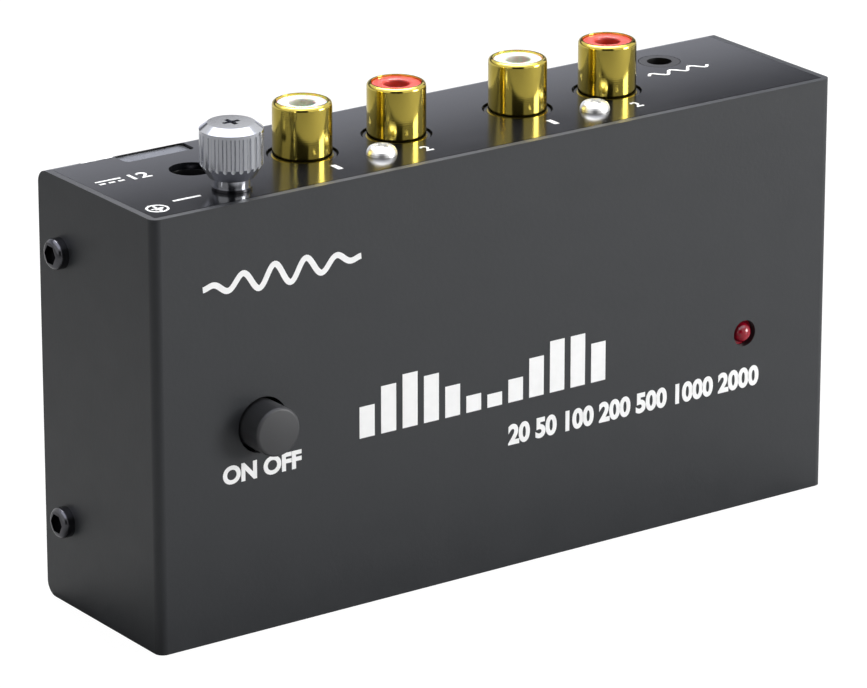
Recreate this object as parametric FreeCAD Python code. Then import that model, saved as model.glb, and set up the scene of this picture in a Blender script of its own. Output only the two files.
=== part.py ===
import FreeCAD, Part
import math
import os

V = FreeCAD.Vector
X = V(1, 0, 0)
Y = V(0, 1, 0)
Z = V(0, 0, 1)

# The box stands on its long narrow side. X runs along it, -Y is the large face with
# the power button, +Z is the panel with the sockets. The origin is the middle of the
# casing's underside. All sizes are in millimetres.

# Casing
case_length = 115.0
case_depth = 29.0
case_height = 62.0
sheet = 1.0
seam = 0.15
cover_bend = 1.3
tray_bend = 2.0
ear_gap = 0.05
ear_height = 14.0
ear_reach = 9.5
ear_bend = 1.4
ear_relief = 0.8
ear_corner = 2.0
collar_radius = 2.6
collar_length = 1.5
thread_clearance = 0.05
joined_overlap = 0.2

# Side screws, M3 with a black round head
side_screw_radius = 1.5
side_screw_head_radius = 2.2
side_screw_head_height = 1.7
side_screw_head_round = 0.8
side_screw_length = 6.0
side_screw_socket = 2.5
side_screw_socket_depth = 1.2
side_screw_back_gap = 5.5
side_screw_bottom_gap = 12.3
side_screw_top_gap = 10.7
screw_hole_clearance = 0.2

# Rubber feet on the back face
foot_radius = 4.0
foot_height = 2.0
foot_edge_round = 0.6
foot_inset = 9.0

# Circuit board, its pillars and its screws
board_thickness = 1.6
board_end_gap = 6.0
board_bottom_z = 3.0
board_corner = 1.0
board_top_gap = 1.3
board_notch_width = 12.4
pillar_length = 2.35
pillar_radius = 2.75
pillar_stub_radius = 2.1
pillar_stub_recess = 0.1
board_screw_radius = 1.5
board_screw_head_radius = 2.75
board_screw_head_height = 1.9
board_screw_length = 4.6
board_screw_inset = 4.0
board_screw_bottom_gap = 7.5
board_screw_top_gap = 21.0

# Phono sockets, two pairs side by side
rca_pair_pitch = 15.7
input_pair_x = -16.5
output_pair_end_gap = 37.6
rca_axis_height = 10.15
shell_radius = 4.15
shell_root_radius = 4.3
shell_wall = 0.6
shell_reach = 7.5
shell_edge_round = 0.45
shell_flange_radius = 4.9
shell_flange = 0.6
rca_panel_hole_radius = 5.0
rca_boss_radius = 4.7
rca_boss_recess = 0.3
rca_fit = 0.05
block_length = 28.4
block_depth = 10.0
block_front_drop = 6.6
block_corner = 1.0
tower_width = 9.0
tower_front_gap = 2.4
insulator_recess = 0.15
insulator_hole_radius = 1.8
insulator_hole_depth = 2.0
insulator_tail = 1.2
contact_radius = 2.1
contact_bore_radius = 1.65
contact_slit = 0.5
contact_slit_length = 5.0
contact_plug_depth = 1.0
contact_tail = 1.6
leg_thickness = 0.6
earth_leg_width = 2.0
earth_pin_width = 1.2
signal_pin_width = 1.0
pin_stick_out = 1.2
pin_hole_clearance = 0.25

# Two screws that hold the socket blocks to the panel
block_screw_radius = 1.3
block_screw_head_radius = 2.15
block_screw_head_height = 1.3
block_screw_length = 8.0
block_screw_front_gap = 7.3
block_screw_offset = 0.8
pan_head_fullness = 0.5
pan_head_steps = 6

# Earth terminal
earth_end_gap = 16.5
earth_front_gap = 6.1
earth_shank_radius = 1.5
earth_shank_length = 8.4
earth_shank_chamfer = 0.4
earth_neck_radius = 2.45
earth_neck_length = 1.3
earth_knob_radius = 4.35
earth_cone_length = 1.9
earth_cone_inset = 1.2
earth_flute_length = 4.8
earth_chamfer = 1.1
earth_chamfer_height = 0.85
earth_flutes = 24
earth_flute_radius = 0.34
earth_flute_end = 0.9
washer_radius = 2.75
washer_thickness = 0.4
washer_gap = 0.05
earth_nut_across_flats = 6.0
earth_nut_thickness = 2.6
lug_radius = 3.4
lug_thickness = 0.5
lug_tongue_width = 2.2
lug_tongue_length = 9.6
wire_radius = 0.75
wire_bend = 5.0
wire_drop = 15.5

# Cross recess of the bright screws and the earth screw
cross_width = 0.7
cross_length = 2.6
cross_depth = 0.8

# Power socket
power_jack_end_gap = 16.7
power_jack_axis_height = 7.55
power_jack_width = 9.0
power_jack_rise = 11.0
power_jack_length = 13.6
power_jack_bore_radius = 2.9
power_jack_bore_depth = 11.0
power_jack_hole_radius = 3.05
power_jack_step = 2.0
power_jack_step_length = 4.0
power_pin_radius = 1.0
power_pin_recess = 1.2
power_pin_tail = 1.4
power_spring_width = 2.4
power_spring_thickness = 0.35
power_spring_length = 7.0

# Line socket, 3.5 mm
line_jack_end_gap = 14.9
line_jack_axis_height = 3.0
line_jack_width = 6.4
line_jack_rise = 6.0
line_jack_length = 12.5
line_bushing_radius = 3.0
line_bushing_clearance = 0.1
line_bore_radius = 1.8
line_bore_depth = 11.5
line_contact_width = 1.2
line_contact_thickness = 0.4
line_contact_inset = 2.0

# Power switch and its button
button_end_gap = 17.1
button_top_gap = 32.1
button_radius = 3.5
button_reach = 4.1
button_switch_gap = 1.55
button_edge_round = 0.45
button_crown = 0.25
button_hole_radius = 4.0
button_travel = 2.5
switch_width = 8.4
switch_rise = 7.0
switch_stop_gap = 0.2
switch_cavity_radius = 2.5
switch_floor = 0.55
switch_skin = 0.3
plunger_width = 3.2
plunger_fit = 0.1
plunger_collar = 5.2
plunger_collar_thickness = 0.8
plunger_collar_gap = 0.25
plunger_tail = 0.5
plunger_engagement = 4.5
spring_coil_radius = 1.2
spring_wire_radius = 0.15
spring_turns = 5

# Status lamp
led_end_gap = 15.0
led_top_gap = 35.6
led_radius = 1.5
led_hole_radius = 1.95
led_reach = 0.5
led_flange_radius = 1.9
led_flange = 1.0
led_spacer_radius = 2.3
led_lead_radius = 0.25
led_lead_pitch = 2.54
led_lead_clearance = 0.1

# Vent slot behind the power socket and the heat spreader that shows in it
slot_width = 11.2
slot_depth = 3.65
slot_back_gap = 1.35
slot_corner = 0.8
spreader_clearance = 0.15
spreader_recess = 0.35
spreader_head = 1.4
spreader_length = 15.4
spreader_air = 0.15

# Parts on the board
chip_length = 9.4
chip_width = 6.4
chip_rise = 3.3
chip_standoff = 0.5
chip_pin_pitch = 2.54
chip_pin_row = 7.62
chip_pin_width = 0.5
chip_pin_thickness = 0.3
chip_shoulder_width = 1.5
chip_edge_round = 0.3
chip_notch_depth = 0.4
chip_top_gap = 32.0
chip_offsets = {"input": -0.5, "output": -1.9}
can_radius = 4.0
can_rise = 11.5
can_groove = 0.35
can_groove_height = 1.6
can_pitch = 10.0
can_left_end_gap = 26.5
can_right_end_gap = 27.5
can_z = 14.5
film_length = 7.2
film_width = 3.5
film_rise = 8.0
film_edge_round = 0.35
film_top_gap = 32.0
film_offsets = (-8.0, -2.0, 4.0)
film_end_gap = 28.5
resistor_radius = 1.15
resistor_length = 6.3
resistor_waist = 0.2
resistor_end_radius = 0.8
resistor_cap_length = 1.6
resistor_cap_slope = 0.6
resistor_lead_radius = 0.28
resistor_pitch = 10.16
resistor_lift = 0.15
resistor_top_gap = 20.5
resistor_offsets = {"input": (-12.0, -8.5, 6.5, 10.0), "output": (-13.4, -9.9, 14.1, 17.6)}
regulator_end_gap = 25.5
regulator_top_gap = 31.0
regulator_width = 6.6
regulator_length = 6.1
regulator_rise = 2.3
regulator_edge_round = 0.3
regulator_metal = 0.5
regulator_tab = 1.2
regulator_tab_width = 5.3
regulator_pin_pitch = 2.3
regulator_pin_width = 0.8
regulator_pin_length = 2.4
diode_radius = 1.35
diode_length = 5.2
diode_end_gap = 19.5
diode_z = 14.0

# Places worked out from the sizes above
half_length = case_length / 2
left_x = -half_length
right_x = half_length
output_pair_x = right_x - output_pair_end_gap
pair_places = {"input": input_pair_x, "output": output_pair_x}
front_y = -case_depth / 2
back_y = case_depth / 2
panel_z = case_height
panel_inner_z = case_height - sheet
cover_inner_y = front_y + sheet
tray_inner_y = back_y - sheet
flange_inner_x = half_length - sheet
tray_half_length = flange_inner_x - ear_gap
board_back_y = tray_inner_y - pillar_length
board_face_y = board_back_y - board_thickness
board_half_length = flange_inner_x - board_end_gap
board_screw_x = board_half_length - board_screw_inset
board_screw_heights = (board_screw_bottom_gap, case_height - board_screw_top_gap)
side_screw_y = back_y - side_screw_back_gap
side_screw_heights = (side_screw_bottom_gap, case_height - side_screw_top_gap)
collar_room = plunger_collar_gap + plunger_collar_thickness + button_travel + switch_stop_gap
switch_base_rise = switch_rise - switch_skin - collar_room
board_top_z = panel_inner_z - board_top_gap
rca_y = board_face_y - rca_axis_height
block_back_z = panel_inner_z - block_depth
block_screw_y = front_y + block_screw_front_gap
block_screw_x = {name: x + block_screw_offset for name, x in pair_places.items()}
tower_front_y = cover_inner_y + tower_front_gap
flange_bottom_z = block_back_z - shell_flange
insulator_bottom_z = flange_bottom_z - insulator_tail
contact_bottom_z = insulator_bottom_z - contact_tail
shell_top_z = panel_z + shell_reach
power_jack_x = left_x + power_jack_end_gap
power_jack_y = board_face_y - power_jack_axis_height
line_jack_x = right_x - line_jack_end_gap
line_jack_y = board_face_y - line_jack_axis_height
earth_x = left_x + earth_end_gap
earth_y = front_y + earth_front_gap
wire_board_z = case_height - wire_drop
button_x = left_x + button_end_gap
button_z = case_height - button_top_gap
button_length = board_face_y - switch_rise - button_switch_gap - button_travel - front_y + button_reach
led_x = right_x - led_end_gap
led_z = case_height - led_top_gap
slot_back_y = back_y - slot_back_gap
slot_front_y = slot_back_y - slot_depth
pin_end_y = board_back_y + pin_stick_out
washer_z = panel_z + washer_gap
neck_z = washer_z + washer_thickness
rca_places = {
    "input_left": input_pair_x - rca_pair_pitch / 2,
    "input_right": input_pair_x + rca_pair_pitch / 2,
    "output_left": output_pair_x - rca_pair_pitch / 2,
    "output_right": output_pair_x + rca_pair_pitch / 2,
}
board_screw_places = [(side * board_screw_x, z) for side in (-1, 1) for z in board_screw_heights]
chip_z = case_height - chip_top_gap
chip_x = [pair_places[name] + offset for name, offset in chip_offsets.items()]
can_left_x = left_x + can_left_end_gap
can_x = [can_left_x, can_left_x + can_pitch, -can_pitch / 2, can_pitch / 2, right_x - can_right_end_gap]
film_z = case_height - film_top_gap
film_x = list(film_offsets) + [right_x - film_end_gap]
resistor_z = case_height - resistor_top_gap
resistor_x = [pair_places[name] + offset for name in resistor_offsets for offset in resistor_offsets[name]]
regulator_x = left_x + regulator_end_gap
regulator_z = case_height - regulator_top_gap
diode_x = left_x + diode_end_gap


def block(x0, x1, y0, y1, z0, z1):
    """A box between two corners."""
    return Part.makeBox(x1 - x0, y1 - y0, z1 - z0, V(x0, y0, z0))


def block_about(centre, size_x, size_y, size_z):
    """A box about its middle."""
    corner = V(centre.x - size_x / 2, centre.y - size_y / 2, centre.z - size_z / 2)
    return Part.makeBox(size_x, size_y, size_z, corner)


def rod(start, direction, radius, length):
    """A cylinder from a point along a direction."""
    return Part.makeCylinder(radius, length, start, direction)


def pipe(start, direction, outer, inner, length):
    """A round tube from a point along a direction."""
    return rod(start, direction, outer, length).cut(rod(start, direction, inner, length))


def join(shapes):
    """One solid from shapes that touch or overlap."""
    result = shapes[0]
    for shape in shapes[1:]:
        result = result.fuse(shape)
    return result.removeSplitter()


def take(shape, tools):
    """A shape with the tools cut away."""
    return shape.cut(Part.makeCompound(tools))


def soften(shape, radius, wanted):
    """Round the edges whose middle point and direction the test accepts."""
    edges = []
    for edge in shape.Edges:
        middle = edge.CenterOfMass
        along = edge.tangentAt(edge.FirstParameter)
        if wanted(middle, along):
            edges.append(edge)
    return shape.makeFillet(radius, edges)


def near(a, b):
    """Whether two lengths are the same."""
    return abs(a - b) < 1e-4


def turned(points, centre, axis):
    """A solid of revolution from a closed profile of (radius, height) points."""
    outline = [V(radius, 0, height) for radius, height in points]
    face = Part.Face(Part.makePolygon(outline + outline[:1]))
    solid = face.revolve(V(0, 0, 0), Z, 360)
    solid.Placement = FreeCAD.Placement(centre, FreeCAD.Rotation(Z, axis))
    return solid


def cross_recess(place, axis, side):
    """The tool for a cross recess, sunk from a head's top face."""
    middle = place - axis * (cross_depth / 2)
    other = axis.cross(side)
    tools = []
    for along, across in ((side, other), (other, side)):
        size = along * cross_length + across * cross_width + axis * cross_depth
        tools.append(block_about(middle, abs(size.x), abs(size.y), abs(size.z)))
    return tools[0].fuse(tools[1])


def make_cover():
    """Front face with both end flanges, bent from one sheet."""
    outer = block(-half_length, half_length, front_y, back_y, 0, case_height)
    outer = soften(outer, cover_bend, lambda p, d: near(abs(d.z), 1) and near(p.y, front_y))
    inner = block(-flange_inner_x, flange_inner_x, cover_inner_y, back_y + sheet, -sheet, case_height + sheet)
    inner = soften(
        inner, cover_bend - sheet, lambda p, d: near(abs(d.z), 1) and near(p.y, cover_inner_y)
    )
    shell = outer.cut(inner)
    shell = soften(
        shell,
        tray_bend,
        lambda p, d: near(abs(d.x), 1) and near(p.y, back_y) and (near(p.z, 0) or near(p.z, case_height)),
    )
    holes = [
        rod(V(button_x, front_y - sheet, button_z), Y, button_hole_radius, 3 * sheet),
        rod(V(led_x, front_y - sheet, led_z), Y, led_hole_radius, 3 * sheet),
    ]
    for height in side_screw_heights:
        start = V(-half_length - sheet, side_screw_y, height)
        holes.append(rod(start, X, side_screw_radius + screw_hole_clearance, case_length + 2 * sheet))
    return take(shell, holes)


def make_ear(side, middle_z):
    """One bent ear at an end of the tray, with its drawn thread collar."""
    inner_x = tray_half_length - sheet
    ear_front = back_y - ear_reach
    low = middle_z - ear_height / 2
    high = middle_z + ear_height / 2
    root_x = tray_half_length - ear_bend - sheet
    outer = block(root_x, tray_half_length, ear_front, back_y, low, high)
    outer = soften(
        outer, ear_bend, lambda p, d: near(abs(d.z), 1) and near(p.x, tray_half_length) and near(p.y, back_y)
    )
    inner = block(root_x - sheet, inner_x, ear_front - sheet, tray_inner_y, low - sheet, high + sheet)
    inner = soften(
        inner, ear_bend - sheet, lambda p, d: near(abs(d.z), 1) and near(p.x, inner_x) and near(p.y, tray_inner_y)
    )
    plate = outer.cut(inner)
    plate = soften(plate, ear_corner, lambda p, d: near(abs(d.x), 1) and near(p.y, ear_front))
    collar = rod(V(inner_x, side_screw_y, middle_z), X * -1, collar_radius, collar_length)
    ear = join([plate, collar])
    start = V(inner_x - 2 * collar_length, side_screw_y, middle_z)
    ear = ear.cut(rod(start, X, side_screw_radius + thread_clearance, 4 * sheet + 2 * collar_length))
    if side < 0:
        ear = ear.mirror(V(0, 0, 0), X)
    return ear


def make_tray():
    """Back face, socket panel and bottom bent from one sheet, with four ears."""
    front_edge = cover_inner_y + seam
    outer = block(-tray_half_length, tray_half_length, front_edge, back_y, 0, case_height)
    outer = soften(
        outer, tray_bend, lambda p, d: near(abs(d.x), 1) and near(p.y, back_y)
    )
    inner = block(
        -half_length, half_length, front_edge - sheet, tray_inner_y, sheet, panel_inner_z
    )
    inner = soften(
        inner, tray_bend - sheet, lambda p, d: near(abs(d.x), 1) and near(p.y, tray_inner_y)
    )
    shell = outer.cut(inner)
    window = []
    for side in (-1, 1):
        for height in side_screw_heights:
            centre = V(side * tray_half_length, back_y - sheet / 2, height)
            window.append(
                block_about(centre, 2 * ear_bend, 4 * sheet, ear_height + 2 * ear_relief)
            )
    shell = take(shell, window)
    ears = [make_ear(side, height) for side in (-1, 1) for height in side_screw_heights]
    shell = join([shell] + ears)
    holes = []
    for x in rca_places.values():
        holes.append(rod(V(x, rca_y, panel_inner_z - sheet), Z, rca_panel_hole_radius, 3 * sheet))
    for x in block_screw_x.values():
        start = V(x, block_screw_y, panel_inner_z - sheet)
        holes.append(rod(start, Z, block_screw_radius + screw_hole_clearance, 3 * sheet))
    holes.append(
        rod(V(power_jack_x, power_jack_y, panel_inner_z - sheet), Z, power_jack_hole_radius, 3 * sheet)
    )
    line_hole = line_bushing_radius + line_bushing_clearance
    holes.append(rod(V(line_jack_x, line_jack_y, panel_inner_z - sheet), Z, line_hole, 3 * sheet))
    earth_hole = earth_shank_radius + screw_hole_clearance
    holes.append(rod(V(earth_x, earth_y, panel_inner_z - sheet), Z, earth_hole, 3 * sheet))
    slot = block(
        power_jack_x - slot_width / 2, power_jack_x + slot_width / 2, slot_front_y, slot_back_y,
        panel_inner_z - 2 * sheet, panel_z + sheet,
    )
    slot = soften(slot, slot_corner, lambda p, d: near(abs(d.z), 1))
    holes.append(slot)
    for x, z in board_screw_places:
        start = V(x, tray_inner_y - sheet, z)
        holes.append(rod(start, Y, pillar_stub_radius + thread_clearance, 3 * sheet))
    return take(shell, holes)


def side_screw(side, height):
    """A round-headed screw through an end flange into its ear."""
    inward = X * -side
    seat = V(side * half_length, side_screw_y, height)
    shank = rod(seat - inward * joined_overlap, inward, side_screw_radius, side_screw_length + joined_overlap)
    head = rod(seat - inward * side_screw_head_height, inward, side_screw_head_radius, side_screw_head_height)
    top_x = seat.x + side * side_screw_head_height
    head = soften(head, side_screw_head_round, lambda p, d: near(p.x, top_x))
    screw = join([head, shank])
    corners = []
    for index in range(7):
        angle = math.radians(60 * index)
        reach = side_screw_socket / 2 / math.cos(math.radians(30))
        corners.append(V(top_x, side_screw_y + reach * math.cos(angle), height + reach * math.sin(angle)))
    socket = Part.Face(Part.makePolygon(corners)).extrude(inward * side_screw_socket_depth)
    return screw.cut(socket)


def make_foot(x, z):
    """A round rubber foot stuck to the back face."""
    foot = rod(V(x, back_y, z), Y, foot_radius, foot_height)
    return soften(foot, foot_edge_round, lambda p, d: near(p.y, back_y + foot_height))


def make_board():
    """The circuit board with its holes, cut back at the top behind the power socket."""
    board = block(-board_half_length, board_half_length, board_face_y, board_back_y, board_bottom_z, board_top_z)
    board = soften(board, board_corner, lambda p, d: near(abs(d.y), 1))
    holes = []
    notch_low = board_top_z - spreader_head - spreader_clearance
    holes.append(
        block(
            power_jack_x - board_notch_width / 2, power_jack_x + board_notch_width / 2,
            board_face_y - sheet, board_back_y + sheet, notch_low, board_top_z + sheet,
        )
    )
    for x, z in board_screw_places:
        holes.append(
            rod(
                V(x, board_face_y - sheet, z), Y, board_screw_radius + screw_hole_clearance, 2 * sheet + board_thickness
            )
        )
    drill = board_thickness + 2 * sheet
    for x in rca_places.values():
        earth_level = flange_bottom_z + shell_flange / 2
        signal_level = contact_bottom_z + leg_thickness / 2
        start = V(x, board_face_y - sheet, earth_level)
        holes.append(rod(start, Y, earth_pin_width / 2 + pin_hole_clearance, drill))
        start = V(x, board_face_y - sheet, signal_level)
        holes.append(rod(start, Y, signal_pin_width / 2 + pin_hole_clearance, drill))
    for offset in (-led_lead_pitch / 2, led_lead_pitch / 2):
        start = V(led_x + offset, board_face_y - sheet, led_z)
        holes.append(rod(start, Y, led_lead_radius + led_lead_clearance, drill))
    return take(board, holes)


def make_pillar(x, z):
    """A threaded pillar pressed into the tray."""
    body = rod(V(x, board_back_y, z), Y, pillar_radius, tray_inner_y - board_back_y)
    stub = rod(V(x, tray_inner_y, z), Y, pillar_stub_radius, sheet - pillar_stub_recess)
    bore = rod(V(x, board_back_y - sheet, z), Y, board_screw_radius + thread_clearance, case_depth)
    return join([body, stub]).cut(bore)


def pan_screw(seat, outward, side, radius, head_radius, head_height, length):
    """A pan-headed screw with a cross recess, seated at a point."""
    shank = rod(seat + outward * joined_overlap, outward * -1, radius, length + joined_overlap)
    profile = [(0, 0), (head_radius, 0)]
    for step in range(1, pan_head_steps):
        angle = math.pi / 2 * step / pan_head_steps
        profile.append((head_radius * math.cos(angle) ** pan_head_fullness, head_height * math.sin(angle)))
    profile.append((0, head_height))
    head = turned(profile, seat, outward)
    screw = join([head, shank])
    return screw.cut(cross_recess(seat + outward * head_height, outward, side))


def make_socket_block(pair_x, screw_x):
    """The moulded block of one socket pair, with a boss in each panel hole and a tower for its screw."""
    low_y = rca_y - block_front_drop
    body = block(
        pair_x - block_length / 2, pair_x + block_length / 2, low_y, board_face_y, block_back_z, panel_inner_z
    )
    body = soften(body, block_corner, lambda p, d: near(abs(d.z), 1) and near(p.y, low_y))
    tower = block(
        screw_x - tower_width / 2, screw_x + tower_width / 2, tower_front_y, low_y + block_corner,
        block_back_z, panel_inner_z,
    )
    tower = soften(
        tower, block_corner, lambda p, d: near(abs(d.z), 1) and near(p.y, tower_front_y)
    )
    shapes = [body, tower]
    tools = []
    for side in (-1, 1):
        x = pair_x + side * rca_pair_pitch / 2
        start = V(x, rca_y, panel_inner_z - sheet)
        shapes.append(rod(start, Z, rca_boss_radius, 2 * sheet - rca_boss_recess))
        start = V(x, rca_y, block_back_z - sheet)
        tools.append(rod(start, Z, shell_root_radius + rca_fit, block_depth + 4 * sheet))
    start = V(screw_x, block_screw_y, panel_inner_z + sheet)
    tools.append(rod(start, Z * -1, block_screw_radius + thread_clearance, block_screw_length + 2 * sheet))
    return take(join(shapes), tools)


def make_shell(x):
    """Outer contact of a socket: a plated sleeve with a rear flange and an earth leg."""
    length = shell_top_z - flange_bottom_z
    sleeve = rod(V(x, rca_y, flange_bottom_z), Z, shell_radius, length)
    sleeve = soften(sleeve, shell_edge_round, lambda p, d: near(p.z, shell_top_z))
    root = rod(V(x, rca_y, flange_bottom_z), Z, shell_root_radius, panel_z - rca_boss_recess - flange_bottom_z)
    flange = rod(V(x, rca_y, flange_bottom_z), Z, shell_flange_radius, shell_flange)
    leg = block(
        x - earth_leg_width / 2, x + earth_leg_width / 2, rca_y, board_face_y,
        flange_bottom_z, flange_bottom_z + shell_flange,
    )
    pin = block(
        x - earth_pin_width / 2, x + earth_pin_width / 2, rca_y, pin_end_y,
        flange_bottom_z, flange_bottom_z + shell_flange,
    )
    bore = rod(V(x, rca_y, flange_bottom_z - sheet), Z, shell_radius - shell_wall, length + 2 * sheet)
    return join([sleeve, root, flange, leg, pin]).cut(bore)


def make_insulator(x):
    """Coloured insulator inside the sleeve, with the plug pin's hole."""
    radius = shell_radius - shell_wall - rca_fit
    top = shell_top_z - insulator_recess
    body = rod(V(x, rca_y, insulator_bottom_z), Z, radius, top - insulator_bottom_z)
    body = soften(body, 4 * rca_fit, lambda p, d: near(p.z, top))
    mouth = rod(V(x, rca_y, top + sheet), Z * -1, insulator_hole_radius, insulator_hole_depth + sheet)
    mouth_ring = rod(V(x, rca_y, insulator_bottom_z - sheet), Z, contact_radius + rca_fit, top - insulator_bottom_z
                     + sheet - insulator_hole_depth)
    return take(body, [mouth, mouth_ring])


def make_contact(x):
    """Centre contact: a slit tube closed behind, with a signal leg to the board."""
    top = shell_top_z - insulator_recess - insulator_hole_depth - rca_fit
    tube_length = top - insulator_bottom_z
    tube = rod(V(x, rca_y, insulator_bottom_z), Z, contact_radius, tube_length)
    bore_length = tube_length - contact_plug_depth
    tube = tube.cut(rod(V(x, rca_y, top), Z * -1, contact_bore_radius, bore_length))
    slit = block_about(
        V(x, rca_y, top - contact_slit_length / 2), 3 * contact_radius, contact_slit, contact_slit_length
    )
    tail = block_about(
        V(x, rca_y, insulator_bottom_z - contact_tail / 2), signal_pin_width, 2 * leg_thickness, contact_tail
    )
    leg = block(
        x - signal_pin_width / 2, x + signal_pin_width / 2, rca_y - leg_thickness, pin_end_y,
        contact_bottom_z, contact_bottom_z + leg_thickness,
    )
    return join([tube.cut(slit), tail, leg])


def make_power_jack():
    """Moulded body of the power socket, stepped down behind."""
    front_z = panel_inner_z
    low_y = board_face_y - power_jack_rise
    body = block(
        power_jack_x - power_jack_width / 2, power_jack_x + power_jack_width / 2, low_y, board_face_y,
        front_z - power_jack_length, front_z,
    )
    step = block(
        power_jack_x - power_jack_width, power_jack_x + power_jack_width, low_y - sheet, low_y + power_jack_step,
        front_z - power_jack_length - sheet, front_z - power_jack_step_length,
    )
    body = body.cut(step)
    bore = rod(
        V(power_jack_x, power_jack_y, front_z + sheet), Z * -1, power_jack_bore_radius,
        power_jack_bore_depth + sheet,
    )
    pin_hole = rod(
        V(power_jack_x, power_jack_y, front_z - power_jack_length - sheet), Z, power_pin_radius + rca_fit,
        power_jack_length,
    )
    spring_slot = block(
        power_jack_x - power_spring_width / 2 - rca_fit, power_jack_x + power_spring_width / 2 + rca_fit,
        power_jack_y, power_jack_y + power_jack_bore_radius + power_spring_thickness + rca_fit,
        front_z - power_jack_bore_depth, front_z - power_jack_bore_depth + power_spring_length,
    )
    return take(body, [bore, pin_hole, spring_slot])


def make_power_pin():
    """Centre pin of the power socket with its tag behind the body."""
    top = panel_z - power_pin_recess
    bottom = panel_inner_z - power_jack_length - power_pin_tail
    pin = rod(V(power_jack_x, power_jack_y, bottom), Z, power_pin_radius, top - bottom)
    pin = soften(pin, power_pin_radius / 2, lambda p, d: near(p.z, top))
    tag = block(
        power_jack_x - power_pin_radius, power_jack_x + power_pin_radius, power_jack_y, board_face_y,
        bottom, bottom + leg_thickness,
    )
    return join([pin, tag])


def make_power_spring():
    """Side contact of the power socket, a strip along the bore's board side."""
    outer_y = power_jack_y + power_jack_bore_radius + power_spring_thickness
    low = panel_inner_z - power_jack_bore_depth + rca_fit
    high = low + power_spring_length - 2 * rca_fit
    strip = block(
        power_jack_x - power_spring_width / 2, power_jack_x + power_spring_width / 2,
        outer_y - power_spring_thickness, outer_y, low, high,
    )
    return strip


def make_line_jack():
    """Body of the 3.5 mm socket with its round nose in the panel."""
    low_y = board_face_y - line_jack_rise
    body = block(
        line_jack_x - line_jack_width / 2, line_jack_x + line_jack_width / 2, low_y, board_face_y,
        panel_inner_z - line_jack_length, panel_inner_z,
    )
    nose = rod(V(line_jack_x, line_jack_y, panel_inner_z - sheet), Z, line_bushing_radius, 2 * sheet)
    bore = rod(V(line_jack_x, line_jack_y, panel_z + sheet), Z * -1, line_bore_radius, line_bore_depth + sheet)
    windows = []
    for index in range(3):
        level = line_contact_level(index)
        windows.append(
            block_about(
                V(line_jack_x, low_y, level), line_contact_width + 2 * rca_fit,
                2 * (line_jack_axis_height - line_bore_radius / 2), line_contact_width + 2 * rca_fit,
            )
        )
    return take(join([body, nose]), [bore] + windows)


def line_contact_level(index):
    """Height of one of the three spring contacts of the 3.5 mm socket."""
    lowest = panel_inner_z - line_jack_length + line_contact_inset
    return lowest + index * (line_jack_length - 2 * line_contact_inset) / 3


def make_line_contacts():
    """Three leaf contacts that reach in to the plug."""
    low_y = board_face_y - line_jack_rise
    contacts = []
    for index in range(3):
        level = line_contact_level(index)
        leaf = block_about(
            V(line_jack_x, (low_y + line_jack_y - line_bore_radius) / 2 - line_contact_thickness / 2, level),
            line_contact_width, line_jack_y - line_bore_radius - low_y + line_contact_thickness, line_contact_width,
        )
        contacts.append(leaf)
    return Part.makeCompound(contacts)


def make_earth_screw():
    """Fluted thumbscrew: shank, neck, flared underside, flutes and chamfered top."""
    cone_z = neck_z + earth_neck_length
    body_z = cone_z + earth_cone_length
    shoulder_z = body_z + earth_flute_length
    top_z = shoulder_z + earth_chamfer_height
    bottom_z = neck_z - earth_shank_length
    profile = [
        (0, bottom_z),
        (earth_shank_radius - earth_shank_chamfer, bottom_z),
        (earth_shank_radius, bottom_z + earth_shank_chamfer),
        (earth_shank_radius, neck_z),
        (earth_neck_radius, neck_z),
        (earth_neck_radius, cone_z),
        (earth_knob_radius - earth_cone_inset, cone_z),
        (earth_knob_radius, body_z),
        (earth_knob_radius, shoulder_z),
        (earth_knob_radius - earth_chamfer, top_z),
        (0, top_z),
    ]
    knob = turned(profile, V(earth_x, earth_y, 0), Z)
    flutes = []
    for index in range(earth_flutes):
        angle = 2 * math.pi * index / earth_flutes
        centre = V(
            earth_x + earth_knob_radius * math.cos(angle), earth_y + earth_knob_radius * math.sin(angle),
            cone_z - sheet,
        )
        length = shoulder_z - earth_flute_end / 2 - cone_z + sheet
        flutes.append(rod(centre, Z, earth_flute_radius, length))
    knob = take(knob, flutes)
    return knob.cut(cross_recess(V(earth_x, earth_y, top_z), Z, X))


def make_earth_nut():
    """Hexagon nut behind the panel, on the solder lug."""
    top = panel_inner_z - lug_thickness
    corners = []
    for index in range(7):
        angle = math.radians(60 * index)
        reach = earth_nut_across_flats / 2 / math.cos(math.radians(30))
        corners.append(V(earth_x + reach * math.cos(angle), earth_y + reach * math.sin(angle), top))
    body = Part.Face(Part.makePolygon(corners)).extrude(Z * -earth_nut_thickness)
    bore = rod(V(earth_x, earth_y, panel_z), Z * -1, earth_shank_radius + thread_clearance, case_height)
    return body.cut(bore)


def make_lug():
    """Solder lug between the panel and the nut."""
    bottom = panel_inner_z - lug_thickness
    ring = rod(V(earth_x, earth_y, bottom), Z, lug_radius, lug_thickness)
    tongue = block(
        earth_x, earth_x + lug_tongue_length, earth_y - lug_tongue_width / 2, earth_y + lug_tongue_width / 2,
        bottom, panel_inner_z,
    )
    tongue = soften(
        tongue, lug_tongue_width / 3, lambda p, d: near(abs(d.z), 1) and p.x > earth_x + lug_radius
    )
    hole = rod(V(earth_x, earth_y, bottom - sheet), Z, earth_shank_radius + screw_hole_clearance, 3 * sheet)
    return join([ring, tongue]).cut(hole)


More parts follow.
